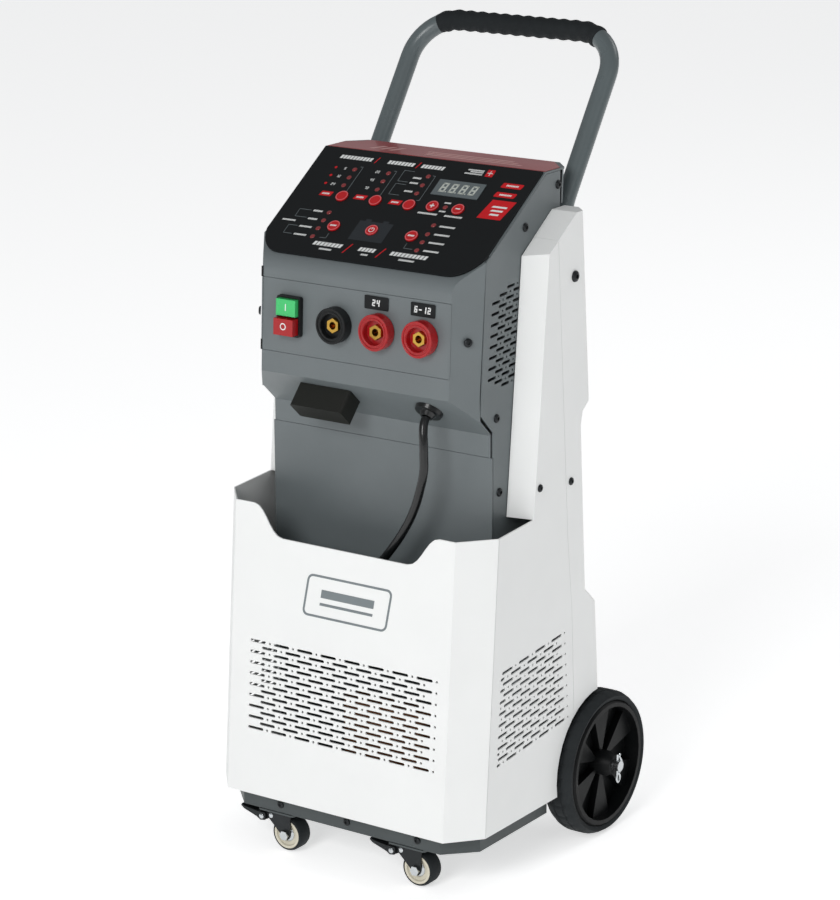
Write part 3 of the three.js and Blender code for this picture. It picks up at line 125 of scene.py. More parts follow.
@dataclass(frozen=True)
class Finish:
    """A material and how its surface was made.

    Attributes:
        title: Common name and process.
        slot: Material slot of the record that it stands for; not used.
        colour: sRGB hex colour.
        roughness: Mean roughness.
        spread: How far roughness wanders either way.
        metallic: 1 for a bare metal.
        ior: Index of refraction; a metal keeps 1.5.
        coat: Weight of a clear top layer.
        specular: Strength of the mirror-like part; 0.5 is a clean hard surface.
        grain_mm: Size of one grain of the relief.
        depth_mm: Height of the relief.
        patch_mm: Size of the cloudy patches of colour and gloss.
        shade: How much darker the dark patches are.
        edge_mm: Radius that catches light along edges.
        texture: Kind of relief.
        glow: Emission strength.
    """

    title: str
    slot: str
    colour: str
    roughness: float = 0.5
    spread: float = 0.06
    metallic: float = 0.0
    ior: float = 1.5
    coat: float = 0.0
    specular: float = 0.5
    grain_mm: float = 1.2
    depth_mm: float = 0.02
    patch_mm: float = 60.0
    shade: float = 0.06
    edge_mm: float = 0.5
    texture: Texture = Texture.GRAIN
    glow: float = 0.0

    def relief(self, tree: bpy.types.NodeTree, coords: bpy.types.NodeSocket) -> bpy.types.NodeSocket:
        """Makes the height of the fine relief.

        Args:
            tree: Material tree.
            coords: Object coordinates.

        Returns:
            The height socket.
        """
        scale = 1 / (self.grain_mm * MM)
        if self.texture is Texture.PEBBLE:
            cells = add_node(
                tree, "ShaderNodeTexVoronoi", {"Vector": coords, "Scale": scale}, feature="SMOOTH_F1"
            )
            return cells.outputs["Distance"]
        if self.texture is Texture.DRAWN:
            stretch = add_node(tree, "ShaderNodeMapping", {"Vector": coords, "Scale": (0.03, 1.0, 1.0)})
            coords = stretch.outputs["Vector"]
        noise = add_node(tree, "ShaderNodeTexNoise", {"Vector": coords, "Scale": scale, "Detail": 3.0})
        return noise.outputs["Fac"]

    def build(self) -> bpy.types.Material:
        """Makes the material once, and gives it back on each later call.

        Returns:
            The node material.
        """
        name = self.title.replace(" ", "_")
        if name in bpy.data.materials:
            return bpy.data.materials[name]
        material = bpy.data.materials.new(name)
        material.use_nodes = True
        material.diffuse_color = linear(self.colour)
        tree = material.node_tree
        tree.nodes.clear()
        coords = add_node(tree, "ShaderNodeTexCoord").outputs["Object"]
        patches = add_node(
            tree, "ShaderNodeTexNoise", {"Vector": coords, "Scale": 1 / (self.patch_mm * MM), "Detail": 4.0}
        ).outputs["Fac"]
        cloudy = add_node(
            tree, "ShaderNodeMapRange", {"Value": patches, "From Min": 0.35, "From Max": 0.65}
        ).outputs["Result"]
        base = linear(self.colour)
        dark = tuple(c * (1 - self.shade) for c in base[:3]) + (1.0,)
        tint = add_node(
            tree, "ShaderNodeMix", {0: cloudy, 6: base, 7: dark}, data_type="RGBA", clamp_factor=True
        ).outputs[2]
        gloss = add_node(
            tree,
            "ShaderNodeMapRange",
            {
                "Value": patches,
                "From Min": 0.3,
                "From Max": 0.7,
                "To Min": max(0.02, self.roughness - self.spread),
                "To Max": min(1.0, self.roughness + self.spread),
            },
        ).outputs["Result"]
        rounded = add_node(tree, "ShaderNodeBevel", {"Radius": self.edge_mm * MM}, samples=4)
        bump = add_node(
            tree,
            "ShaderNodeBump",
            {
                "Height": self.relief(tree, coords),
                "Distance": self.depth_mm * MM,
                "Strength": 1.0,
                "Normal": rounded.outputs["Normal"],
            },
        )
        shader = add_node(
            tree,
            "ShaderNodeBsdfPrincipled",
            {
                "Base Color": tint,
                "Roughness": gloss,
                "Metallic": self.metallic,
                "IOR": self.ior,
                "Coat Weight": self.coat,
                "Specular IOR Level": self.specular,
                "Normal": bump.outputs["Normal"],
            },
        )
        if self.glow:
            shader.inputs["Emission Color"].default_value = base
            shader.inputs["Emission Strength"].default_value = self.glow
        add_node(tree, "ShaderNodeOutputMaterial", {"Surface": shader.outputs["BSDF"]})
        return material


# Baked polyester powder: satin white with a fine leathery orange peel that breaks up highlights.
WHITE_COAT = Finish(
    "white_powder_coat", "painted_white", "#f1f2f1", 0.42, grain_mm=1.6, depth_mm=0.03, shade=0.015
)
# The same powder in mid grey: soft broad highlights, slightly cloudy.
GREY_COAT = Finish(
    "grey_powder_coat", "painted_grey", "#6b7274", 0.44, grain_mm=1.6, depth_mm=0.035, shade=0.05
)
# Darker powder on the chassis: almost matt, so that only edges catch light.
DARK_COAT = Finish(
    "dark_powder_coat", "painted_dark", "#454b4c", 0.48, specular=0.4, grain_mm=1.6, depth_mm=0.035,
    shade=0.06
)
# Wet enamel on bent tube: smooth, with one clear highlight along the bar.
TUBE_COAT = Finish("grey_enamelled_tube", "handle_steel", "#5d6668", 0.3, grain_mm=2.5, depth_mm=0.015)
# Screen-printed polyester overlay: near black and satin, with a faint print grain.
FILM = Finish(
    "printed_polyester_film", "printed_film", "#0f1214", 0.38, 0.03, specular=0.25, grain_mm=0.8,
    depth_mm=0.006
)
# White ink: flat and chalky against the film.
FILM_WHITE = Finish(
    "white_screen_ink", "printed_film", "#e9ebea", 0.45, specular=0.3, depth_mm=0.004, edge_mm=0.05
)
# Red ink: flat and strong, a little glossier than the white.
FILM_RED = Finish(
    "red_screen_ink", "printed_film", "#cf1a22", 0.4, specular=0.25, depth_mm=0.004, edge_mm=0.05
)
# Thin grey ink: fine lines that stay quiet beside the white.
FILM_LINE = Finish(
    "grey_screen_ink", "printed_film", "#7b8386", 0.45, specular=0.3, depth_mm=0.004, edge_mm=0.05
)
# Charcoal ink: a tone just above the film, seen only from near by.
FILM_SHADE = Finish(
    "charcoal_screen_ink", "printed_film", "#2b2f33", 0.45, specular=0.25, depth_mm=0.004, edge_mm=0.05
)
# Printed vinyl on the flat top: smooth, glossy, washed out where it mirrors the light.
BAND_RED = Finish("red_printed_vinyl_band", "printed_film", "#b33a3d", 0.3, 0.04, coat=0.5, depth_mm=0.006)
# Pale ink over the vinyl: soft pink stripes.
BAND_PALE = Finish("pale_screen_ink", "printed_film", "#dcaaa6", 0.35, depth_mm=0.004, edge_mm=0.05)
# Tinted acrylic: low dull-red domes with a small bright point.
LAMP = Finish(
    "tinted_acrylic_lens", "printed_film", "#8a3032", 0.2, coat=0.4, specular=0.4, depth_mm=0.0, edge_mm=0.3
)
# Embossed polyester key: saturated red with a soft sheen on its shoulder.
KEY_RED = Finish(
    "domed_red_polyester_key", "button_film", "#c4161c", 0.34, coat=0.2, specular=0.3, depth_mm=0.006,
    edge_mm=0.7
)
# Pink ink: a narrow lighter ring round each key.
KEY_RIM = Finish(
    "pink_screen_ink", "button_film", "#e0666a", 0.35, specular=0.3, depth_mm=0.004, edge_mm=0.05
)
# Smoked acrylic: a mid grey window, mirror smooth.
SMOKED = Finish(
    "smoked_acrylic_window", "display_glass", "#5f686b", 0.12, 0.03, ior=1.49, coat=0.4, depth_mm=0.0
)
# Unlit display segments: pale, with a faint painted glow that keeps them barely brighter than the window.
DIGIT = Finish("pale_display_segment", "display_glass", "#bcc1ba", 0.4, depth_mm=0.0, edge_mm=0.05, glow=0.05)
# Glass-filled nylon: black, with a spark-eroded bloom that dulls the highlight.
BLACK_NYLON = Finish(
    "black_moulded_nylon", "black_moulding", "#141617", 0.42, specular=0.3, grain_mm=0.9, depth_mm=0.03
)
# Recycled nylon: a warmer, slightly olive black, dull.
BLOCK_NYLON = Finish(
    "olive_black_moulded_nylon", "black_moulding", "#20211e", 0.55, specular=0.25, grain_mm=0.9, depth_mm=0.05
)
# Moulded polypropylene: deep black, so that its pockets read as holes.
HUB_NYLON = Finish(
    "black_moulded_polypropylene", "dark_moulding", "#0a0c0d", 0.5, specular=0.2, grain_mm=1.4, depth_mm=0.03
)
# Polished-mould ABS: clear red with small hard highlights.
RED_ABS = Finish(
    "red_moulded_abs", "red_moulding", "#a81318", 0.28, ior=1.52, coat=0.2, specular=0.35, depth_mm=0.008,
    edge_mm=0.8
)
# The same moulding in light green.
GREEN_ABS = Finish(
    "green_moulded_abs", "green_button", "#3fc46f", 0.28, ior=1.52, coat=0.2, specular=0.4, depth_mm=0.008,
    edge_mm=0.8
)
# Turned brass, lightly tarnished: warm, with fine tool marks.
BRASS = Finish(
    "turned_brass", "brass_contact", "#c9a04c", 0.28, 0.08, 1.0, grain_mm=0.7, depth_mm=0.01, shade=0.2
)
# Vulcanised rubber: matt, slightly dusty, with a fine open grain.
RUBBER = Finish(
    "black_vulcanised_rubber", "wheel_tyre", "#25292b", 0.75, specular=0.25, grain_mm=1.1, depth_mm=0.06,
    shade=0.2
)
# Extruded rubber sheath: black with a wet line of light along its length.
CABLE = Finish(
    "black_rubber_cable_sheath", "black_rubber", "#0e1011", 0.3, coat=0.25, specular=0.4, grain_mm=0.8,
    depth_mm=0.01
)
# Closed-cell foam: soft charcoal that takes no highlight, pebbled close up.
FOAM = Finish(
    "black_foam_sleeve", "black_rubber", "#1f2325", 0.8, specular=0.25, grain_mm=1.4, depth_mm=0.09,
    texture=Texture.PEBBLE,
)
# Unpigmented nylon: warm cream, waxy.
CREAM_NYLON = Finish("cream_moulded_nylon", "bright_steel", "#d8d2bf", 0.4, grain_mm=1.0, depth_mm=0.01)
# Zinc plate on pressed steel: bright grey with cloudy gloss.
ZINC = Finish(
    "bright_zinc_plate", "bright_steel", "#c9cdcf", 0.26, 0.1, 1.0, grain_mm=0.9, depth_mm=0.008, shade=0.1
)
# Zinc over drawn bar: fine lines along the bar that stretch the highlight.
DRAWN_STEEL = Finish(
    "drawn_zinc_plated_steel", "bright_steel", "#c3c6c8", 0.26, 0.08, 1.0, grain_mm=0.5, depth_mm=0.01,
    texture=Texture.DRAWN,
)
# Black-passivated zinc: dark metal, with a thin steely edge where it turns.
BLACK_ZINC = Finish(
    "black_passivated_zinc", "black_moulding", "#26292b", 0.38, 0.08, 0.6, grain_mm=0.6, depth_mm=0.01
)
# Varnished lamination stack: dull blue-grey iron with a burnt sheen.
LAMINATE = Finish(
    "varnished_lamination_steel", "lamination_iron", "#43484b", 0.5, 0.1, 0.6, grain_mm=0.6, depth_mm=0.05
)
# Copper winding under tape: brown, ribbed across.
COPPER = Finish(
    "taped_copper_winding", "copper_winding", "#8a5630", 0.5, 0.1, grain_mm=3.0, depth_mm=0.2,
    texture=Texture.DRAWN
)
# Extruded aluminium: pale satin with die lines.
ALLOY = Finish(
    "extruded_aluminium", "heatsink_alloy", "#a9adb0", 0.38, 0.06, 1.0, grain_mm=0.5, depth_mm=0.02,
    texture=Texture.DRAWN,
)
# Glass epoxy with solder mask: glossy green.
EPOXY = Finish(
    "green_glass_epoxy_board", "circuit_board", "#1f5a35", 0.4, coat=0.2, grain_mm=1.0, depth_mm=0.02
)
# Matt seamless paper: even white that fades the horizon out.
PAPER = Finish(
    "white_paper_backdrop", "painted_white", "#fbfbfb", 0.9, 0.02, grain_mm=3, depth_mm=0.0, shade=0.0,
    glow=0.6
)


def drop_object(thing: bpy.types.Object) -> None:
    """Removes an object and its mesh."""
    mesh = thing.data
    bpy.data.objects.remove(thing)
    bpy.data.meshes.remove(mesh)


def place(
    name: str, mesh: bpy.types.Mesh, finish: Finish, body: str, smooth: float = 35.0
) -> bpy.types.Object:
    """Puts a finished mesh into the scene and ties it to a body.

    Args:
        name: Name of the piece.
        mesh: Its mesh, in metres in the shared frame.
        finish: What it is made of.
        body: Body that it rides on.
        smooth: Edges flatter than this many degrees are shaded smooth.

    Returns:
        The new object.
    """
    mesh.name = name
    mesh.materials.clear()
    mesh.materials.append(finish.build())
    mesh.polygons.foreach_set("use_smooth", [True] * len(mesh.polygons))
    mesh.set_sharp_from_angle(angle=math.radians(smooth))
    thing = bpy.data.objects.new(name, mesh)
    bpy.context.scene.collection.objects.link(thing)
    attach(thing, body)
    LOG.info("piece %s: %d faces on %s", name, len(mesh.polygons), body)
    return thing


def from_bmesh(shape: bmesh.types.BMesh) -> bpy.types.Mesh:
    """Turns an edit mesh into a mesh with its faces pointing out.

    Args:
        shape: The edit mesh.

    Returns:
        The new mesh.
    """
    bmesh.ops.recalc_face_normals(shape, faces=shape.faces)
    mesh = bpy.data.meshes.new("made")
    shape.to_mesh(mesh)
    shape.free()
    return mesh


def add_prism(shape: bmesh.types.BMesh, outline: Outline, low: float, high: float, frame: Matrix) -> None:
    """Adds one straight prism to an edit mesh.

    Args:
        shape: The edit mesh.
        outline: Its outline in millimetres, in the frame's first two axes.
        low: Where it starts along the third axis, in millimetres.
        high: Where it ends.
        frame: Placement in metres.
    """
    rings = [
        [shape.verts.new(frame @ Vector((x * MM, y * MM, z * MM))) for x, y in outline] for z in (low, high)
    ]
    count = len(outline)
    for i in range(count):
        j = (i + 1) % count
        shape.faces.new((rings[0][i], rings[0][j], rings[1][j], rings[1][i]))
    shape.faces.new(list(reversed(rings[0])))
    shape.faces.new(rings[1])


def add_lathe(shape: bmesh.types.BMesh, profile: Outline, frame: Matrix, steps: int = 32) -> None:
    """Adds one turned body to an edit mesh.

    Args:
        shape: The edit mesh.
        profile: Radius and height in millimetres, from one end to the other; a radius of 0 closes the end.
        frame: Placement in metres, with the axis along its third axis.
        steps: Sides of the round.
    """
    rings = []
    for radius, height in profile:
        if radius == 0:
            rings.append([shape.verts.new(frame @ Vector((0, 0, height * MM)))])
            continue
        turns = [math.tau * i / steps for i in range(steps)]
        rings.append([
            shape.verts.new(
                frame @ Vector((radius * math.cos(a) * MM, radius * math.sin(a) * MM, height * MM))
            )
            for a in turns
        ])
    for low, high in zip(rings, rings[1:]):
        for i in range(steps):
            j = (i + 1) % steps
            corners = [low[i % len(low)], low[j % len(low)], high[j % len(high)], high[i % len(high)]]
            unique = list(dict.fromkeys(corners))
            if len(unique) > 2:
                shape.faces.new(unique)


def add_tube(shape: bmesh.types.BMesh, path: list[Vector], radii: list[float], sides: int) -> None:
    """Adds a bent round bar to an edit mesh.

    Args:
        shape: The edit mesh.
        path: Points of its centreline, in millimetres.
        radii: Its radius at each point, in millimetres.
        sides: Sides of the round.
    """
    ahead = [(b - a).normalized() for a, b in zip(path, path[1:])]
    tangents = [ahead[0]] + [(a + b).normalized() for a, b in zip(ahead, ahead[1:])] + [ahead[-1]]
    across = tangents[0].orthogonal().normalized()
    rings = []
    for point, tangent, radius in zip(path, tangents, radii):
        across = (across - tangent * across.dot(tangent)).normalized()
        up = tangent.cross(across)
        rings.append([
            shape.verts.new((point + (across * math.cos(a) + up * math.sin(a)) * radius) * MM)
            for a in (math.tau * i / sides for i in range(sides))
        ])
    for low, high in zip(rings, rings[1:]):
        for i in range(sides):
            j = (i + 1) % sides
            shape.faces.new((low[i], low[j], high[j], high[i]))
    shape.faces.new(list(reversed(rings[0])))
    shape.faces.new(rings[-1])


def basis(origin: tuple[float, float, float], x: Vector, y: Vector, z: Vector) -> Matrix:
    """Makes a placement from an origin in millimetres and three directions."""
    frame = Matrix((x, y, z)).transposed().to_4x4()
    frame.translation = Vector(origin) * MM
    return frame


def facing(origin: tuple[float, float, float], outward: Vector) -> Matrix:
    """Makes a placement whose third axis points outward from a surface.

    Args:
        origin: Place of the origin, in millimetres.
        outward: Direction away from the surface.

    Returns:
        The placement.
    """
    z = outward.normalized()
    x = Vector((0, 0, 1)).cross(z)
    x = x.normalized() if x.length > 1e-6 else Vector((1, 0, 0))
    return basis(origin, x, z.cross(x), z)


def bar(x0: float, x1: float, y0: float, y1: float) -> Outline:
    """Outline of an upright rectangle."""
    return [(x0, y0), (x1, y0), (x1, y1), (x0, y1)]


def disc(cx: float, cy: float, radius: float, steps: int = 28) -> Outline:
    """Outline of a circle.

    Args:
        cx: Middle across.
        cy: Middle up.
        radius: Radius, in millimetres.
        steps: Sides of the round.

    Returns:
        The outline.
    """
    return [
        (cx + radius * math.cos(math.tau * i / steps), cy + radius * math.sin(math.tau * i / steps))
        for i in range(steps)
    ]


def capsule(cx: float, cy: float, length: float, width: float, steps: int = 6) -> Outline:
    """Outline of a dash with round ends.

    Args:
        cx: Middle across.
        cy: Middle up.
        length: Length over the round ends.
        width: Width.
        steps: Sides of the round.

    Returns:
        The outline.
    """
    radius, reach = width / 2, length / 2 - width / 2
    ends = []
    for side, start in ((1, -math.pi / 2), (-1, math.pi / 2)):
        for i in range(steps + 1):
            a = start + math.pi * i / steps
            ends.append((cx + side * reach + radius * math.cos(a), cy + radius * math.sin(a)))
    return ends


def rounded_bar(
    cx: float, cy: float, half_x: float, half_y: float, radius: float, slant: float = 0.0
) -> Outline:
    """Outline of a rectangle with round corners, leaning by slant per unit of height.

    Args:
        cx: Middle across.
        cy: Middle up.
        half_x: Half its width.
        half_y: Half its height.
        radius: Radius, in millimetres.
        slant: Lean per unit of height.

    Returns:
        The outline.
    """
    points = []
    for quarter, (sx, sy) in enumerate(((1, -1), (1, 1), (-1, 1), (-1, -1))):
        for i in range(6):
            a = -math.pi / 2 + math.pi / 2 * (quarter + i / 5)
            y = sy * (half_y - radius) + radius * math.sin(a)
            points.append((cx + sx * (half_x - radius) + radius * math.cos(a) + slant * y, cy + y))
    return points


# Segments lit for each figure: top, upper right, lower right, bottom, lower left, upper left, middle.
FIGURES = {
    "0": "1111110", "1": "0110000", "2": "1101101", "3": "1111001", "4": "0110011", "5": "1011011",
    "6": "1011111", "7": "1110000", "8": "1111111", "9": "1111011", "-": "0000001",
}


def figure(char: str, x: float, y: float, height: float, stroke: float, slant: float = 0.12) -> list[Outline]:
    """Draws one number as straight segments.

    Args:
        char: A digit or a dash.
        x: Left edge.
        y: Bottom edge.
        height: Height of the figure.
        stroke: Thickness of a segment.
        slant: Lean to the right per unit of height.

    Returns:
        One outline for each lit segment.
    """
    width, half, gap = height * 0.56, height / 2, stroke * 0.12
    flat = [(0, height - stroke), None, None, (0, 0), None, None, (0, half - stroke / 2)]
    tall = {1: (width - stroke, half), 2: (width - stroke, 0), 4: (0, 0), 5: (0, half)}
    made = []
    for i, lit in enumerate(FIGURES[char]):
        if lit == "0":
            continue
        if i in tall:
            left, low = tall[i]
            box = bar(left, left + stroke, low + gap, low + half - gap)
        else:
            left, low = flat[i]
            box = bar(gap, width - gap, low, low + stroke)
        made.append([(x + px + slant * py, y + py) for px, py in box])
    return made


@dataclass
class Carried:
    """Parts whose modelled shape is already right, and the finish of each."""

    weld_mm: float = 0.01
    sharp_deg: float = 33.0
    finishes: dict[str, Finish] = field(default_factory=lambda: {
        "base_tray": DARK_COAT, "rear_cover": WHITE_COAT, "bin_floor": GREY_COAT, "head_cover": GREY_COAT,
        "terminal_panel": GREY_COAT, "lower_panel": GREY_COAT, "control_membrane": FILM,
        "display_window": SMOKED,
        "socket_negative": BLACK_NYLON, "socket_positive_24v": RED_ABS, "socket_positive_12v": RED_ABS,
        "insert_negative": BRASS, "insert_positive_24v": BRASS, "insert_positive_12v": BRASS,
        "switch_housing": BLACK_NYLON, "switch_on": GREEN_ABS, "switch_off": RED_ABS,
        "clamp_block": BLOCK_NYLON,
        "cord_grommet": CABLE, "handle_bracket": DARK_COAT, "rear_axle": DRAWN_STEEL,
        "transformer_core": LAMINATE, "transformer_winding": COPPER, "fan_frame": BLACK_NYLON,
        "fan_rotor": BLACK_NYLON, "rectifier_heatsink": ALLOY, "control_board": EPOXY,
        "start_relay": BLACK_NYLON,
        "caster_plate_right": DARK_COAT, "caster_plate_left": DARK_COAT,
        "caster_fork_right": BLACK_ZINC, "caster_fork_left": BLACK_ZINC,
        "brake_pedal_right": BLACK_ZINC, "brake_pedal_left": BLACK_ZINC, "wheel_hub_right": HUB_NYLON,
        "wheel_hub_left": HUB_NYLON,
    })

    def dress(self, nodes: dict[str, bpy.types.Object]) -> None:
        """Gives every carried part its finish and softens its shading.

        Args:
            nodes: The modelled parts by name.
        """
        keys = {name: KEY_RED for name in nodes if name.startswith("button_")}
        for name, finish in {**self.finishes, **keys}.items():
            self.soften(nodes[name], finish)
            LOG.info("carried %s: %s", name, finish.title)

    def soften(self, thing: bpy.types.Object, finish: Finish) -> None:
        """Sets one part's finish, welds its faces and splits only its sharp edges.

        Args:
            thing: The part.
            finish: Its finish.
        """
        mesh = thing.data
        mesh.materials.clear()
        mesh.materials.append(finish.build())
        if "custom_normal" in mesh.attributes:
            mesh.attributes.remove(mesh.attributes["custom_normal"])
        mesh.polygons.foreach_set("use_smooth", [True] * len(mesh.polygons))
        weld = thing.modifiers.new("weld", "WELD")
        weld.merge_threshold = self.weld_mm * MM
        split = thing.modifiers.new("sharp", "EDGE_SPLIT")
        split.split_angle = math.radians(self.sharp_deg)


@dataclass(frozen=True)
class VentField:
    """Rows of dashes, each with a round hole beyond its end, on one panel.

    Attributes:
        count: Dashes in a long row; every other row has one less and sits half a pitch along.
        rows: Number of rows.
        pitch: Distance between dashes.
        row_step: Distance between rows.
        dash: Length of a dash with its round ends.
        centre: Middle of the field, along the panel and up.
        slope: Rise of a row per unit of its length.
        drift: Shift along the panel from each row to the next one up.
        edges: Slanted limits, each a point along and up and its run per unit of height.
        slot: Width of a dash.
        dot: Diameter of a round hole.
    """

    count: int
    rows: int
    pitch: float
    row_step: float
    dash: float
    centre: Point
    slope: float = 0.0
    drift: float = 0.0
    edges: tuple[tuple[float, float, float], ...] = ()
    slot: float = 3.1
    dot: float = 2.7

    def limit(self, up: float) -> float:
        """Gives where the field may start at a height."""
        return max((x + run * (up - z) for x, z, run in self.edges), default=-math.inf)

    def outlines(self) -> list[Outline]:
        """Gives every dash and round hole of the field.

        Returns:
            One outline for each opening.
        """
        made = []
        for row in range(self.rows):
            in_row = self.count - row % 2
            step = row - (self.rows - 1) / 2
            for i in range(in_row):
                out = (i - (in_row - 1) / 2) * self.pitch
                x = self.centre[0] + out + self.drift * step
                y = self.centre[1] + self.row_step * step + self.slope * out
                low, high = max(x - self.dash / 2, self.limit(y)), x + self.dash / 2
                if high - low > 1.5 * self.slot:
                    shape = capsule((low + high) / 2, y, high - low, self.slot)
                    made.append([(px, py + self.slope * (px - x)) for px, py in shape])
                if x + self.pitch / 2 - self.dot > self.limit(y):
                    made.append(disc(x + self.pitch / 2, y + self.slope * self.pitch / 2, self.dot / 2, 12))
        return made


FRONT_VENT = VentField(8, 17, 30.8, 6.0, 20.5, (2, 188))
SIDE_VENT = VentField(5, 17, 31.5, 6.08, 20, (-74.2, 193.3), 0.09, -0.5, ((-122.6, 232.5, 0.08),))
HEAD_VENT = VentField(
    3, 19, 25.8, 5.6, 15.2, (-63.6, 583.4), 0.05, 0.58, ((-94, 621, 2.27), (-101, 542, -2.78))
)


@dataclass
class Panels:
    """Sheet-metal panels with pierced vents."""

    fields: dict[str, tuple[Finish, VentField, Matrix, tuple[float, float]]] = field(default_factory=dict)
    weld_mm: float = 0.01

    def __post_init__(self) -> None:
        """Lists the pierced panels with the frame that each field is drawn in."""
        x, y, z = Vector((1, 0, 0)), Vector((0, 1, 0)), Vector((0, 0, 1))
        front = basis((0, 0, 0), x, z, -y)
        side = basis((0, 0, 0), y, z, x)
        self.fields["front_panel"] = (WHITE_COAT, FRONT_VENT, front, (140, 200))
        for hand, turn in (("right", 1), ("left", -1)):
            body = tuple(sorted((150 * turn, 190 * turn)))
            head = tuple(sorted((130 * turn, 150 * turn)))
            self.fields[f"side_panel_{hand}"] = (WHITE_COAT, SIDE_VENT, side, body)
            self.fields[f"side_plate_{hand}"] = (GREY_COAT, HEAD_VENT, side, head)

    def build(self, nodes: dict[str, bpy.types.Object]) -> None:
        """Makes each pierced panel from its plain one.

        Args:
            nodes: The modelled parts by name.
        """
        for name, (finish, vents, frame, (low, high)) in self.fields.items():
            self.pierce(nodes[name], finish, vents, frame, low, high)

    def pierce(
        self, plain: bpy.types.Object, finish: Finish, vents: VentField, frame: Matrix, low: float,
        high: float
    ) -> None:
        """Cuts a field of dashes and dots through a copy of a panel.

        Args:
            plain: The modelled panel.
            finish: Its finish.
            vents: The field to cut.
            frame: Frame that the field is drawn in.
            low: Where the cutter starts, in millimetres.
            high: Where it ends.
        """
        shape = bmesh.new()
        for outline in vents.outlines():
            add_prism(shape, outline, low, high, frame)
        cutter = bpy.data.objects.new("cutter", from_bmesh(shape))
        blank_mesh = plain.data.copy()
        if "custom_normal" in blank_mesh.attributes:
            blank_mesh.attributes.remove(blank_mesh.attributes["custom_normal"])
        blank = bpy.data.objects.new("blank", blank_mesh)
        for thing in (cutter, blank):
            bpy.context.scene.collection.objects.link(thing)
        weld = blank.modifiers.new("weld", "WELD")
        weld.merge_threshold = self.weld_mm * MM
        cut = blank.modifiers.new("cut", "BOOLEAN")
        cut.operation = "DIFFERENCE"
        cut.solver = "EXACT"
        cut.object = cutter
        graph = bpy.context.evaluated_depsgraph_get()
        mesh = bpy.data.meshes.new_from_object(blank.evaluated_get(graph))
        drop_object(cutter)
        drop_object(blank)
        piece = place(f"pierced_{plain.name}", mesh, finish, Body.CHASSIS.value)
        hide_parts(plain.name)


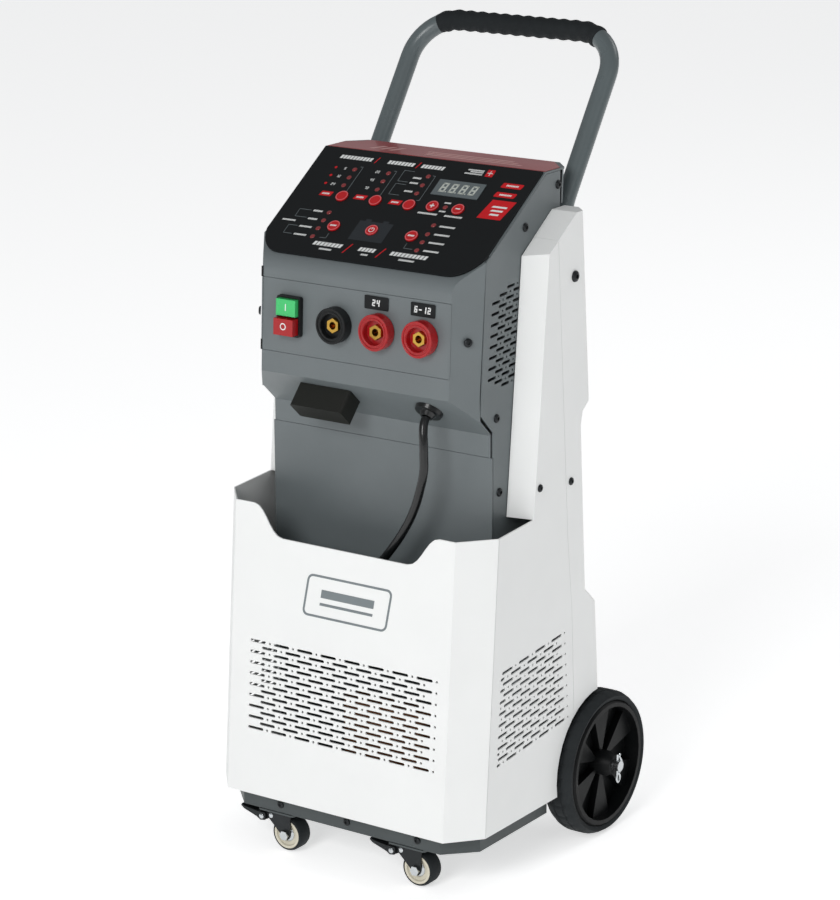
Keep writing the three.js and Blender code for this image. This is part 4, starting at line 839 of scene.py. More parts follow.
@dataclass
class MainsLead:
    """Rubber mains lead: hangs from its bush, then lies in the bin as a tied hank with its plug."""

    radius: float = 4.6
    floor: float = 252.0
    exit: tuple[float, float, float] = (82, -127.5, 501.2)
    hanging: list[tuple[float, float, float]] = field(default_factory=lambda: [
        (82.3, -131.2, 496.8), (83.6, -134.9, 489), (85.4, -137, 478), (86.3, -138, 464),
        (86.6, -138.4, 449.2), (81.5, -138.2, 426.5), (73.3, -137.6, 403.4), (60.3, -137, 379.4),
        (45, -137, 357.4), (28, -137.8, 336.8), (10, -139.2, 317), (-6, -140.8, 301),
        (-20, -142.4, 287.6), (-34, -143.9, 275.6), (-49, -145.4, 265.6),
        (-66, -146.8, 259.2), (-84, -148.2, 257.0), (-99, -151.2, 256.9), (-113, -155.4, 256.9),
    ])
    left_x: float = -124.5
    right_x: float = 31.5
    middle_y: float = -129.2
    fold: float = 27.6
    layer: float = 9.3
    laps: int = 3
    plug_tip: tuple[float, float, float] = (63.4, -109.4, 282.4)
    plug_drop: float = 11.6
    plug_turn: float = 9.0

    def fold_points(self, x: float, side: int, z: float) -> list[tuple[float, float, float]]:
        """Gives the points round one end of the hank.

        Args:
            x: Middle of the fold.
            side: -1 at the left end, 1 at the right.
            z: Height of the layer.

        Returns:
            Points in the order that the lead runs.
        """
        start = -math.pi / 2 if side < 0 else math.pi / 2
        return [
            (x + self.fold * math.cos(a), self.middle_y + self.fold * math.sin(a), z)
            for a in (start - math.pi * i / 8 for i in range(9))
        ]

    def route(self) -> list[Vector]:
        """Gives the whole centreline in millimetres, from the bush to the plug.

        Returns:
            Points of the centreline.
        """
        points = [self.exit, *self.hanging]
        front, rear = self.middle_y - self.fold, self.middle_y + self.fold
        span = self.right_x - self.left_x
        for lap in range(self.laps + 1):
            z = self.floor + 0.3 + self.radius + lap * self.layer
            points += self.fold_points(self.left_x, -1, z)
            if lap == self.laps:
                points += [(self.left_x + span * t, rear, z) for t in (0.25, 0.5, 0.75)]
                break
            points += [(self.left_x + span * t, rear, z) for t in (0.25, 0.5, 0.75)]
            points += self.fold_points(self.right_x, 1, z)
            rise = ((0.12, 0.02), (0.3, 0.4), (0.5, 0.8), (0.65, 0.98), (0.85, 1.0))
            points += [(self.right_x - span * t, front, z + self.layer * up) for t, up in rise]
        points += [(12, -101.9, z), (30, -103.3, z), (47, -106.2, z - 0.4), self.plug_tip]
        return [Vector(p) for p in points]

    def length(self) -> float:
        """Measures the lead in metres."""
        path = self.route()
        return sum((b - a).length for a, b in zip(path, path[1:])) * MM

    def build(self) -> None:
        curve = bpy.data.curves.new("lead_line", "CURVE")
        curve.dimensions = "3D"
        curve.bevel_depth = self.radius * MM
        curve.bevel_resolution = 4
        curve.resolution_u = 5
        curve.use_fill_caps = True
        path = self.route()
        spline = curve.splines.new("BEZIER")
        spline.bezier_points.add(len(path) - 1)
        for knot, point in zip(spline.bezier_points, path):
            knot.co = point * MM
            knot.handle_left_type = knot.handle_right_type = "AUTO"
        lead = bpy.data.objects.new("rubber_mains_lead", curve)
        curve.materials.append(CABLE.build())
        bpy.context.scene.collection.objects.link(lead)
        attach(lead, Body.CHASSIS.value)
        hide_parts("mains_lead", "lead_hank")
        plug = self.build_plug()
        tie = self.build_tie()
        round(self.length(), 2)
        LOG.info("lead %.2f m long", self.length())

    def build_tie(self) -> bpy.types.Object:
        """Makes the strap that holds the hank together.

        Returns:
            The strap.
        """
        low = self.floor + 0.4
        high = self.floor + 0.3 + (self.laps + 1) * self.layer + 0.4
        half = self.fold + self.radius + 0.7
        shape = bmesh.new()
        frame = basis(
            (0, self.middle_y, (low + high) / 2), Vector((0, 1, 0)), Vector((0, 0, 1)), Vector((1, 0, 0))
        )
        outer = rounded_bar(0, 0, half, (high - low) / 2, 4.5)
        inner = rounded_bar(0, 0, half - 0.8, (high - low) / 2 - 0.8, 3.8)
        x0, x1 = -57.0, -43.0
        rings = [
            [shape.verts.new(frame @ Vector((a * MM, b * MM, x * MM))) for a, b in ring]
            for x in (x0, x1) for ring in (outer, inner)
        ]
        count = len(outer)
        for i in range(count):
            j = (i + 1) % count
            for a, b in ((0, 2), (1, 3), (0, 1), (2, 3)):
                shape.faces.new((rings[a][i], rings[a][j], rings[b][j], rings[b][i]))
        return place("hank_tie_strap", from_bmesh(shape), CABLE, Body.CHASSIS.value)

    def build_plug(self) -> list[bpy.types.Object]:
        """Makes the moulded plug and its two pins.

        Returns:
            The moulding and its pins.
        """
        turn = (
            Matrix.Rotation(math.radians(-self.plug_turn), 4, "Z")
            @ Matrix.Rotation(math.radians(self.plug_drop), 4, "Y")
        )
        frame = Matrix.Translation(Vector(self.plug_tip) * MM) @ turn @ Matrix.Rotation(math.pi / 2, 4, "Y")
        shape = bmesh.new()
        ribs = []
        for i in range(5):
            ribs += [
                (6.1 + 0.35 * i, 3.6 * i), (6.1 + 0.35 * i, 3.6 * i + 2), (5.4 + 0.35 * i, 3.6 * i + 2.4),
                (5.4 + 0.35 * i, 3.6 * i + 3.2)
            ]
        body = [
            (0, 0.2), (5.2, 0.2), *ribs, (8.2, 20), (12.5, 22.5), (16.6, 26), (17.6, 30), (17.9, 34),
            (17.9, 57), (17.2, 59.2), (0, 59.2)
        ]
        add_lathe(shape, body, frame, 40)
        moulding = place("mains_plug_body", from_bmesh(shape), CABLE, Body.CHASSIS.value)
        pins = bmesh.new()
        for side in (-1, 1):
            pin = frame @ Matrix.Translation(Vector((side * 9.5, 0, 59.3)) * MM)
            add_lathe(pins, [(0, 0), (2.3, 0), (2.3, 16.5), (1.4, 18.8), (0, 18.8)], pin, 16)
        steel = place("mains_plug_pins", from_bmesh(pins), ZINC, Body.CHASSIS.value)
        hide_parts("mains_plug")
        return [moulding, steel]


@dataclass
class Handle:
    """Bent push handle with a waved foam sleeve."""

    half: float = 127.0
    radius: float = 10.2
    top: Point = (174.8, 861.0)
    kink: Point = (59.0, 690.0)
    foot: Point = (66.5, 520.0)
    corner: float = 48.0
    kink_radius: float = 60.0
    grip_half: float = 103.5
    grip_radius: float = 11.1
    wave: float = 0.6
    wave_pitch: float = 15.0

    def fillet(self, points: list[Vector], radii: list[float], steps: int = 12) -> list[Vector]:
        """Rounds each inner corner of a path.

        Args:
            points: Corners of the path.
            radii: Radius at each inner corner.
            steps: Straight pieces in a round.

        Returns:
            The rounded path.
        """
        path = [points[0]]
        for i in range(1, len(points) - 1):
            corner, radius = points[i], radii[i - 1]
            back, ahead = (points[i - 1] - corner).normalized(), (points[i + 1] - corner).normalized()
            half = back.angle(ahead) / 2
            inward, across = (back + ahead).normalized(), (ahead - back).normalized()
            centre = corner + inward * (radius / math.sin(half))
            turn = math.pi / 2 - half
            for k in range(steps + 1):
                angle = turn * (2 * k / steps - 1)
                path.append(
                    centre - inward * (radius * math.cos(angle)) + across * (radius * math.sin(angle))
                )
        return [*path, points[-1]]

    def tube_path(self) -> list[Vector]:
        """Gives the centreline of the tube in millimetres."""
        side = [
            Vector((self.half, *self.foot)), Vector((self.half, *self.kink)), Vector((self.half, *self.top))
        ]
        other = [Vector((-p.x, p.y, p.z)) for p in reversed(side)]
        return self.fillet([*side, *other], [self.kink_radius, self.corner, self.corner, self.kink_radius])

    def build(self) -> None:
        """Makes the tube, closed flat at both ends, and the sleeve."""
        path = self.tube_path()
        shape = bmesh.new()
        add_tube(shape, path, [self.radius] * len(path), 28)
        tube = place("bent_handle_tube", from_bmesh(shape), TUBE_COAT, Body.CHASSIS.value)
        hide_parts("handle_tube")
        fine = self.resample(path, 1.5)
        held = [p for p in fine if abs(p.x) <= self.grip_half and p.z > self.kink[1] + 60]
        ends = len(held) - 1
        radii = []
        run = 0.0
        for i, point in enumerate(held):
            run += (point - held[i - 1]).length if i else 0.0
            swell = self.wave * math.sin(math.tau * run / self.wave_pitch)
            close = min(i, ends - i)
            radii.append(self.grip_radius + swell - (0.5 if close == 0 else 0.0))
        sleeve = bmesh.new()
        add_tube(sleeve, held, radii, 32)
        grip = place("waved_foam_grip", from_bmesh(sleeve), FOAM, Body.CHASSIS.value, 60)
        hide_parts("handle_grip")

    def resample(self, path: list[Vector], step: float) -> list[Vector]:
        """Adds points so that none are further apart than a step.

        Args:
            path: Points of the line, in millimetres.
            step: Longest distance allowed.

        Returns:
            The finer path.
        """
        fine = []
        for a, b in zip(path, path[1:]):
            pieces = max(1, math.ceil((b - a).length / step))
            fine += [a.lerp(b, k / pieces) for k in range(pieces)]
        return [*fine, path[-1]]


@dataclass
class RearWheels:
    """Tyres and spring clips of the two rear wheels."""

    y: float = 73.0
    z: float = 80.0
    radius: float = 80.0
    inner: float = 147.5
    outer: float = 183.5
    seat: float = 70.3
    steps: int = 180
    block: int = 6
    slant: float = 4.0
    cross_groove: float = 1.1
    clip_x: float = 194.6
    wire: float = 1.5

    def build(self) -> None:
        """Makes both sides."""
        for hand, side in (("right", 1), ("left", -1)):
            self.build_tyre(hand, side)
            self.build_clip(hand, side)

    def build_tyre(self, hand: str, side: int) -> None:
        """Makes one solid tyre with round grooves and slanted cross grooves in its tread.

        Args:
            hand: Right or left, as in the names.
            side: 1 on the right, -1 on the left.
        """
        a, b, r = self.inner, self.outer, self.radius
        mid = (a + b) / 2
        wall = [
            (self.seat, 2.2), (self.seat + 2, 0.8), (self.seat + 5, 0.1), (r - 4.2, 2), (r - 1.6, 5),
            (r - 0.2, 9)
        ]
        grooves = []
        for groove in (mid - 5.5, mid + 5.5):
            grooves += [
                (r - 0.02, groove - 1.4), (r - 0.9, groove - 1), (r - 0.9, groove + 1),
                (r - 0.02, groove + 1.4)
            ]
        profile = [(rad, a + along) for rad, along in wall] + grooves + [
            (rad, b - along) for rad, along in wall[::-1]
        ]
        frame = basis((0, self.y, self.z), Vector((0, side, 0)), Vector((0, 0, 1)), Vector((side, 0, 0)))
        shape = bmesh.new()
        add_lathe(shape, [*profile, profile[0]], frame, self.steps)
        bmesh.ops.remove_doubles(shape, verts=shape.verts, dist=1e-6)
        self.cut_tread(shape, frame, mid)
        tyre = place(f"solid_tyre_{hand}", from_bmesh(shape), RUBBER, f"rear_wheel_{hand}", 40)
        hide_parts(f"wheel_tyre_{hand}")

    def cut_tread(self, shape: bmesh.types.BMesh, frame: Matrix, mid: float) -> None:
        """Sinks every few steps of the tread, slanting away from its middle.

        Args:
            shape: The edit mesh.
            frame: Placement in metres.
            mid: Middle of the tread along the axle.
        """
        back = frame.inverted()
        for corner in shape.verts:
            spot = back @ corner.co
            if spot.xy.length < (self.radius - 3) * MM:
                continue
            step = round(math.atan2(spot.y, spot.x) / math.tau * self.steps)
            lean = round(abs(spot.z / MM - mid) / self.slant)
            if (step + lean) % self.block == 0:
                spot.xy *= 1 - self.cross_groove / self.radius
                corner.co = frame @ spot

    def build_clip(self, hand: str, side: int) -> None:
        """Makes one spring clip of round wire.

        Args:
            hand: Right or left, as in the names.
            side: 1 on the right, -1 on the left.
        """
        rough = [
            (0, 13), (0, 4), (0, -8), (-1.4, -15), (1.2, -19.2), (4.2, -17), (4.8, -13), (3.2, -9.4),
            (8, -4.5),
            (9, 0), (7.6, 4), (3.9, 9), (5.2, 12.5),
        ]
        corners = [Vector((side * self.clip_x, self.y + y, self.z + z)) for y, z in rough]
        path = []
        for i in range(len(corners) - 1):
            before, after = corners[max(i - 1, 0)], corners[min(i + 2, len(corners) - 1)]
            a, b = corners[i], corners[i + 1]
            for k in range(5):
                t = k / 5
                path.append(
                    0.5 * ((2 * a) + (b - before) * t + (2 * before - 5 * a + 4 * b - after) * t * t
                           + (3 * a - before - 3 * b + after) * t * t * t)
                )
        path.append(corners[-1])
        shape = bmesh.new()
        add_tube(shape, path, [self.wire] * len(path), 12)
        clip = place(f"spring_clip_{hand}", from_bmesh(shape), ZINC, Body.CHASSIS.value, 60)
        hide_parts(f"axle_clip_{hand}")


@dataclass
class Casters:
    """Wheels and rivets of the two swivel casters."""

    x: float = 86.0
    y: float = -157.5
    offset: float = 9.0
    radius: float = 19.1
    half: float = 9.8
    bore: float = 3.2
    nut_at: float = 12.3
    pivot: Point = (-29.0, 16.9)
    stop: Point = (-18.5, 19.0)
    rivet_at: dict[str, float] = field(default_factory=lambda: {"pivot": 15.5, "stop": 12.3})

    def build(self) -> None:
        """Makes the three rings of each wheel, and the axle nuts."""
        r, h = self.radius, self.half
        rings = {
            "tread": (
                RUBBER,
                [
                    (16.2, -h + 0.4), (r - 2.4, -h), (r - 0.9, -h + 0.9), (r, -h + 3.6), (r, h - 3.6),
                    (r - 0.9, h - 0.9), (r - 2.4, h), (16.2, h - 0.4)
                ]
            ),
            "rim": (
                CREAM_NYLON,
                [
                    (8.5, -h + 2.8), (12.6, -h + 2.4), (13.4, -h + 0.3), (16.1, -h + 0.3), (16.1, h - 0.3),
                    (13.4, h - 0.3), (12.6, h - 2.4), (8.5, h - 2.8)
                ]
            ),
            "boss": (
                ZINC,
                [
                    (self.bore, -h + 0.1), (5.0, -h + 0.1), (8.4, -h + 2.4), (8.4, h - 2.4), (5.0, h - 0.1),
                    (self.bore, h - 0.1)
                ]
            ),
        }
        for hand, side in (("right", 1), ("left", -1)):
            centre = (side * self.x + self.offset, self.y, self.radius)
            frame = basis(centre, Vector((1, 0, 0)), Vector((0, 0, 1)), Vector((0, -1, 0)))
            for name, (finish, profile) in rings.items():
                shape = bmesh.new()
                add_lathe(shape, [*profile, profile[0]], frame, 48)
                bmesh.ops.remove_doubles(shape, verts=shape.verts, dist=1e-6)
                piece = place(f"caster_{name}_{hand}", from_bmesh(shape), finish, f"caster_roller_{hand}", 40)
                if name == "tread":
                    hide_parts(f"caster_wheel_{hand}")
            self.build_nut(hand, frame)

    def build_nut(self, hand: str, frame: Matrix) -> None:
        """Makes the hexagon nut on each side of the fork, on the wheel's axle.

        Args:
            hand: Right or left, as in the names.
            frame: Placement in metres.
        """
        shape = bmesh.new()
        hexagon = [(5.6 * math.cos(a), 5.6 * math.sin(a)) for a in (math.tau * i / 6 for i in range(6))]
        for low, high in ((self.nut_at, self.nut_at + 3.0), (-self.nut_at - 3.0, -self.nut_at)):
            add_prism(shape, hexagon, low, high, frame)
        place(f"caster_nuts_{hand}", from_bmesh(shape), ZINC, f"caster_swivel_{hand}")
        self.build_bolts(hand, frame)

    def build_bolts(self, hand: str, frame: Matrix) -> None:
        """Makes the round rivet heads of the brake: its pivot, and a stop beside it.

        Args:
            hand: Right or left, as in the names.
            frame: Placement in metres.
        """
        for name, (x, z), body in (("pivot", self.pivot, "swivel"), ("stop", self.stop, "swivel")):
            shape = bmesh.new()
            for turn in (0, math.pi):
                spot = frame @ Matrix.Translation(Vector((x, z, 0)) * MM) @ Matrix.Rotation(turn, 4, "X")
                low = self.rivet_at[name]
                add_lathe(
                    shape, [(0, low), (3.1, low), (2.9, low + 0.8), (1.8, low + 1.4), (0, low + 1.6)], spot,
                    20
                )
            place(f"caster_{name}_rivets_{hand}", from_bmesh(shape), ZINC, f"caster_{body}_{hand}")


@dataclass
class Fasteners:
    """Button-head screws of the body, each with a round recess where the real head has a hexagon."""

    head: float = 4.7
    height: float = 2.4

    def add_screw(
        self, shape: bmesh.types.BMesh, origin: tuple[float, float, float], outward: Vector,
        scale: float = 1.0
    ) -> None:
        """Adds one screw head, standing on a surface.

        Args:
            shape: The edit mesh.
            origin: Where it stands, in millimetres.
            outward: Direction that it points.
            scale: Size against the standard head.
        """
        r, h = self.head * scale, self.height * scale
        profile = [(0, 0), (r, 0), (r, 0.25 * h), (0.92 * r, 0.6 * h), (0.72 * r, 0.88 * h), (0.42 * r, h)]
        profile += [(0.4 * r, 0.98 * h), (0.4 * r, 0.35 * h), (0, 0.3 * h)]
        add_lathe(shape, profile, facing(origin, outward), 24)

    def build(self) -> None:
        """Makes all the screws as two pieces."""
        shape = bmesh.new()
        facet = Vector((0.815, -0.579, 0.05))
        for side in (1, -1):
            out = Vector((side, 0, 0))
            for y, z in ((30.5, 724.5), (-32, 690), (-85, 499.5), (-79.7, 419.5)):
                self.add_screw(shape, (side * 140.4, y, z), out)
            self.add_screw(shape, (side * 131.6, -123.9, 586), Vector((side * facet.x, facet.y, facet.z)))
        place("head_screws", from_bmesh(shape), BLACK_ZINC, Body.CHASSIS.value)
        body = bmesh.new()
        for side in (1, -1):
            out = Vector((side, 0, 0))
            self.add_screw(body, (side * 171.1, 15.6, 633.8), out, 1.3)
            self.add_screw(body, (side * 171.1, 10.9, 414.3), out, 0.9)
            self.add_screw(body, (side * 171.1, -49.6, 421.4), out, 0.9)
        for x in (-79, 9, 100):
            self.add_screw(body, (x, -173.7, 55.5), Vector((0, -1, 0)), 0.9)
        for side in (1, -1):
            for z in (567, 593):
                self.add_screw(body, (side * 147.2, 53.0, z), Vector((0, 1, 0)), 0.75)
        place("body_screws", from_bmesh(body), BLACK_ZINC, Body.CHASSIS.value)


@dataclass
class ControlFace:
    """Printed control face: lamps, keys, marks and the four-figure display."""

    slope_deg: float = 34.0
    origin: tuple[float, float, float] = (0, 7.4, 741)
    surface: float = 2.3
    ink: float = 0.12
    key_top: float = 3.5
    window_top: float = 2.8
    keys: dict[str, Point] = field(default_factory=lambda: {
        "charger": (-75, 72), "starter": (-32, 72), "tester": (11, 72), "plus": (
            39, 69.5
        ), "minus": (71, 69.5),
        "voltage": (-60, 115), "power": (-12, 114), "display": (38.5, 114.5),
    })
    lamps: list[Point] = field(default_factory=lambda: [
        (-82.5, 31.6), (-82.5, 44), (-82.5, 56), (-39, 31), (-39, 43.5), (-39, 56), (10.5, 28.5), (10.5, 42),
        (10.5, 54.5), (54.5, 68.6), (-77, 97), (-77, 109), (-77, 121), (-77, 133), (55, 95.4), (55, 108.6),
        (55, 120.5), (55, 132.4),
    ])

    def frame(self) -> Matrix:
        """Gives the placement of the face, with its second axis up the slope."""
        a = math.radians(self.slope_deg)
        up, out = Vector((0, math.cos(a), math.sin(a))), Vector((0, -math.sin(a), math.cos(a)))
        return basis(self.origin, Vector((1, 0, 0)), up, out)

    def printed(
        self, name: str, outlines: list[Outline], finish: Finish, base: float | None = None,
        body: str = Body.CHASSIS.value
    ) -> None:
        """Lays thin ink shapes on the face.

        Args:
            name: Name of the piece.
            outlines: Shapes as x and distance down the slope, in millimetres.
            finish: The ink.
            base: Height above the face's own plane; the film's top when left out.
            body: Body that it rides on.
        """
        low = self.surface if base is None else base
        shape = bmesh.new()
        for outline in outlines:
            add_prism(shape, [(x, -s) for x, s in outline], low + 0.02, low + self.ink, self.frame())
        place(name, from_bmesh(shape), finish, body)

    def words(self, x0: float, x1: float, s: float, height: float, slant: float = 0.25) -> list[Outline]:
        """Draws a line of short blocks in place of a caption.

        Args:
            x0: Left end.
            x1: Right end.
            s: Middle, down the slope.
            height: Height of the blocks.
            slant: Lean to the right.

        Returns:
            One outline for each block.
        """
        pitch = height * 0.82
        count = max(1, round((x1 - x0) / pitch))
        made = []
        for i in range(count):
            left = x0 + (x1 - x0) * i / count
            right = left + (x1 - x0) / count * 0.76
            lean = slant * height / 2
            made.append([
                (left - lean, s + height / 2), (right - lean, s + height / 2),
                (right + lean, s - height / 2), (left + lean, s - height / 2),
            ])
        return made

    def number(self, text: str, x: float, s: float, height: float, stroke: float = 0.0) -> list[Outline]:
        """Draws a number whose bottom left corner is at x and s.

        Args:
            text: Digits to draw.
            x: Place across.
            s: Place down the slope.
            height: Height of a figure.
            stroke: Thickness of a line; worked out from the height when 0.

        Returns:
            One outline for each segment.
        """
        made = []
        for i, char in enumerate(text):
            shapes = figure(char, x + i * height * 0.78, -s, height, stroke or height * 0.17)
            made += [[(px, -py) for px, py in outline] for outline in shapes]
        return made

    def line(self, x0: float, s0: float, x1: float, s1: float, width: float = 0.45) -> Outline:
        """Draws a thin straight line.

        Args:
            x0: Start across.
            s0: Start down the slope.
            x1: End across.
            s1: End down the slope.
            width: Width.
        """
        along = Vector((x1 - x0, s1 - s0)).normalized() * (width / 2)
        return [
            (x0 - along.y, s0 + along.x), (x0 + along.y, s0 - along.x), (x1 + along.y, s1 - along.x),
            (x1 - along.y, s1 + along.x)
        ]

    def build(self) -> None:
        """Lays every mark of the face."""
        white, red, lines = [], [], []
        for x0, x1 in ((-110, -68), (-48, -14), (-5, 24)):
            white += self.words(x0, x1, 15, 5.2)
        for x in (-62, -9):
            red.append([(x - 3, 19), (x - 1.8, 19), (x + 1.2, 10), (x, 10)])
        for (x, column), texts in zip(
            ((-99, 31.6), (-55.5, 31), (0, 0)), (("6", "12", "24"), ("20", "45", "70"), ())
        ):
            for i, text in enumerate(texts):
                white += self.number(text, x + (0 if len(text) > 1 else 3.4), column + 1.9 + 12.2 * i, 3.6)
        for s in (30, 37.5, 50):
            white += self.words(-6, 4.5, s + 3, 2.4)
        for x in (-105, -104.5, -104):
            red.append(disc(x - 2, 31.6 + 12.2 * (x + 105) * 2, 1.7, 14))
        for x, s in ((-96.4, 70.8), (-52.5, 70), (-7.3, 70.7)):
            red.append([(x - 8, s + 3.4), (x + 6.6, s + 3.4), (x + 8, s - 3.4), (x - 6.6, s - 3.4)])
            white += [[(px, ps) for px, ps in o] for o in self.words(x - 5, x + 4.4, s, 2.2)]
        for x in (-82.5, -39, 10.5):
            lines += [
                self.line(x + 5.2, 27, x + 8.5, 27), self.line(x + 8.5, 27, x + 8.5, 64),
                self.line(x + 8.5, 64, x + 5, 64)
            ]
        for s0, s1 in ((24, 40), (44, 60)):
            lines += [self.line(-22, s0, -9, s0), self.line(-22, s0, -22, s1), self.line(-22, s1, -9, s1)]
        for s in (97, 109, 121, 133):
            white += self.words(-97 if s < 115 else -101, -85, s, 2.4)
            white += self.words(63, 82, s - 1.2, 2.4)
        lines += [
            self.line(-115, 97, -100, 97), self.line(-115, 97, -115, 108), self.line(-115, 108, -100, 108)
        ]
        lines += [
            self.line(-115, 121, -104, 121), self.line(-115, 121, -115, 133), self.line(-115, 133, -104, 133)
        ]
        white += self.words(-127, -110, 114.5, 2.2)
        lines += [self.line(-68, 133, -60, 133), self.line(-60, 133, -60, 126)]
        lines += [self.line(38.5, 125, 38.5, 132), self.line(38.5, 132, 49, 132)]
        for x0, x1 in ((-70, -33), (-12, 9), (28, 74)):
            white += self.words(x0, x1, 141.5, 5.4)
            white += self.words(x0 + (x1 - x0) * 0.3, x0 + (x1 - x0) * 0.72, 148.6, 2.4)
        for x in (-25, 17):
            red.append([(x - 4.6, 150), (x - 3.2, 150), (x + 2.6, 136), (x + 1.2, 136)])
        white += self.words(27, 51, 80.5, 2.4) + self.words(60, 82, 80.5, 2.4)
        white += self.words(50.5, 58.5, 62.5, 2.0) + self.words(50.5, 58.5, 75, 2.0)
        white += self.words(52, 72, 11.6, 1.9) + self.words(56, 72, 14.2, 1.9) + self.words(50, 72, 17.2, 1.9)
        red.append(rounded_bar(80, 13.7, 4.6, 5.2, 1.0))
        for x, s in ((115, 27.8), (113.6, 41.5)):
            red.append(rounded_bar(x, s, 12.5, 3.6, 1.4, -0.2))
            white += self.words(x - 7, x + 8, s, 2.2)
        red.append([(97.5, 77), (126.5, 77), (132, 49.5), (103, 49.5)])
        marks = [
            [
                (108.6 + k * 1.2, 58 + 5.6 * k), (125.6 + k * 0.2 - 2.4 * k, 58 + 5.6 * k),
                (125.2 - 2.4 * k, 60.4 + 5.6 * k), (108.1 + k * 1.2 - 1.2, 60.4 + 5.6 * k)
            ]
            for k in range(3)
        ]
        white += marks
        white += [self.line(76.8, 13.7, 83.2, 13.7, 0.9), self.line(80, 10.4, 80, 17, 0.9)]
        battery = [
            (-33.5, 102), (-27, 102), (-27, 99), (-20, 99), (-20, 102), (-5, 102), (-5, 99), (2, 99),
            (2, 102), (9, 102), (9, 130), (-33.5, 130)
        ]
        self.printed("face_battery_mark", [battery], FILM_SHADE)
        self.printed("face_white_marks", [o for o in white if o not in marks], FILM_WHITE, self.surface + 0.1)
        self.printed("face_panel_stripes", marks, FILM_WHITE, self.surface + 0.1)
        self.printed("face_red_marks", red, FILM_RED)
        self.printed("face_lines", lines, FILM_LINE)
        self.build_lamps()
        self.build_keys()
        self.build_display()
        self.build_band()

    def build_lamps(self) -> None:
        """Makes the round lenses of the lamps."""
        shape = bmesh.new()
        for x, s in self.lamps:
            frame = self.frame() @ Matrix.Translation(Vector((x, -s, self.surface)) * MM)
            add_lathe(shape, [(0, 0), (2.9, 0), (2.8, 0.3), (2.2, 0.55), (1.2, 0.7), (0, 0.75)], frame, 20)
        place("lamp_lenses", from_bmesh(shape), LAMP, Body.CHASSIS.value, 50)

    def build_keys(self) -> None:
        """Prints a rim on every key and a mark on some; each rides with its key."""
        for name, (x, s) in self.keys.items():
            body = f"key_{name}"
            shape = bmesh.new()
            frame = self.frame() @ Matrix.Translation(Vector((x, -s, self.key_top)) * MM)
            add_lathe(shape, [(5.9, 0.02), (7.0, 0.02), (7.0, 0.16), (5.9, 0.16), (5.9, 0.02)], frame, 40)
            bmesh.ops.remove_doubles(shape, verts=shape.verts, dist=1e-6)
            place(f"key_rim_{name}", from_bmesh(shape), KEY_RIM, body)
            marks = {
                "plus": [
                    bar(x - 2.8, x + 2.8, s - 0.7, s + 0.7), bar(x - 0.7, x + 0.7, s - 2.8, s - 0.72),
                    bar(x - 0.7, x + 0.7, s + 0.72, s + 2.8)
                ],
                "minus": [bar(x - 2.8, x + 2.8, s - 0.7, s + 0.7)],
                "power": [*self.arc(x, s, 3.1, 0.8), bar(x - 0.45, x + 0.45, s - 4, s - 0.6)],
                "voltage": self.words(x - 4, x + 4, s, 2.2),
                "display": self.words(x - 4, x + 4, s, 2.2),
            }.get(name)
            if marks:
                self.printed(f"key_mark_{name}", marks, FILM_WHITE, self.key_top, body)

    def arc(self, x: float, s: float, radius: float, width: float) -> list[Outline]:
        """Draws an open ring with its gap at the top, as short pieces.

        Args:
            x: Place across.
            s: Place down the slope.
            radius: Radius, in millimetres.
            width: Width.

        Returns:
            One outline for each piece.
        """
        made = []
        steps = 14
        for i in range(steps):
            a, b = (math.radians(-60 + 300 * (i + k) / steps) for k in (0, 1))
            inner, outer = radius - width / 2, radius + width / 2
            made.append([
                (x + r * math.cos(t), s + r * math.sin(t))
                for r, t in ((inner, a), (outer, a), (outer, b), (inner, b))
            ])
        return made

    def build_display(self) -> None:
        """Makes the four pale figures behind the window's face."""
        shapes = []
        for i in range(4):
            x = 33.5 + i * 12.2
            shapes += [[(px, -py) for px, py in o] for o in figure("8", x, -48.2, 13.4, 2.1, 0.1)]
            shapes.append(disc(x + 9.2, 47.4, 0.9, 12))
        self.printed("display_figures", shapes[:-1], DIGIT, self.window_top)

    def build_band(self) -> None:
        """Makes the red printed band on the flat top of the head, with pale stripes."""
        frame = basis((0, 0, 741), Vector((1, 0, 0)), Vector((0, 1, 0)), Vector((0, 0, 1)))
        shape = bmesh.new()
        band = [(-138.6, 8.6), (138.6, 8.6), (138.6, 36.5), (117, 60), (-117, 60), (-138.6, 36.5)]
        add_prism(shape, band, 0.05, 0.5, frame)
        place("head_top_band", from_bmesh(shape), BAND_RED, Body.CHASSIS.value)
        marks = bmesh.new()
        for i in range(3):
            low = 20 + 7 * i
            add_prism(
                marks,
                [(-20 - 3 * i, low), (100 - 9 * i, low), (101.5 - 9 * i, low + 3), (-18.5 - 3 * i, low + 3)],
                0.51, 0.6, frame
            )
        for x in (-92, -80, -68):
            add_prism(marks, [(x, 20), (x + 6, 20), (x + 13, 37), (x + 7, 37)], 0.51, 0.6, frame)
        place("head_top_stripes", from_bmesh(marks), BAND_PALE, Body.CHASSIS.value)


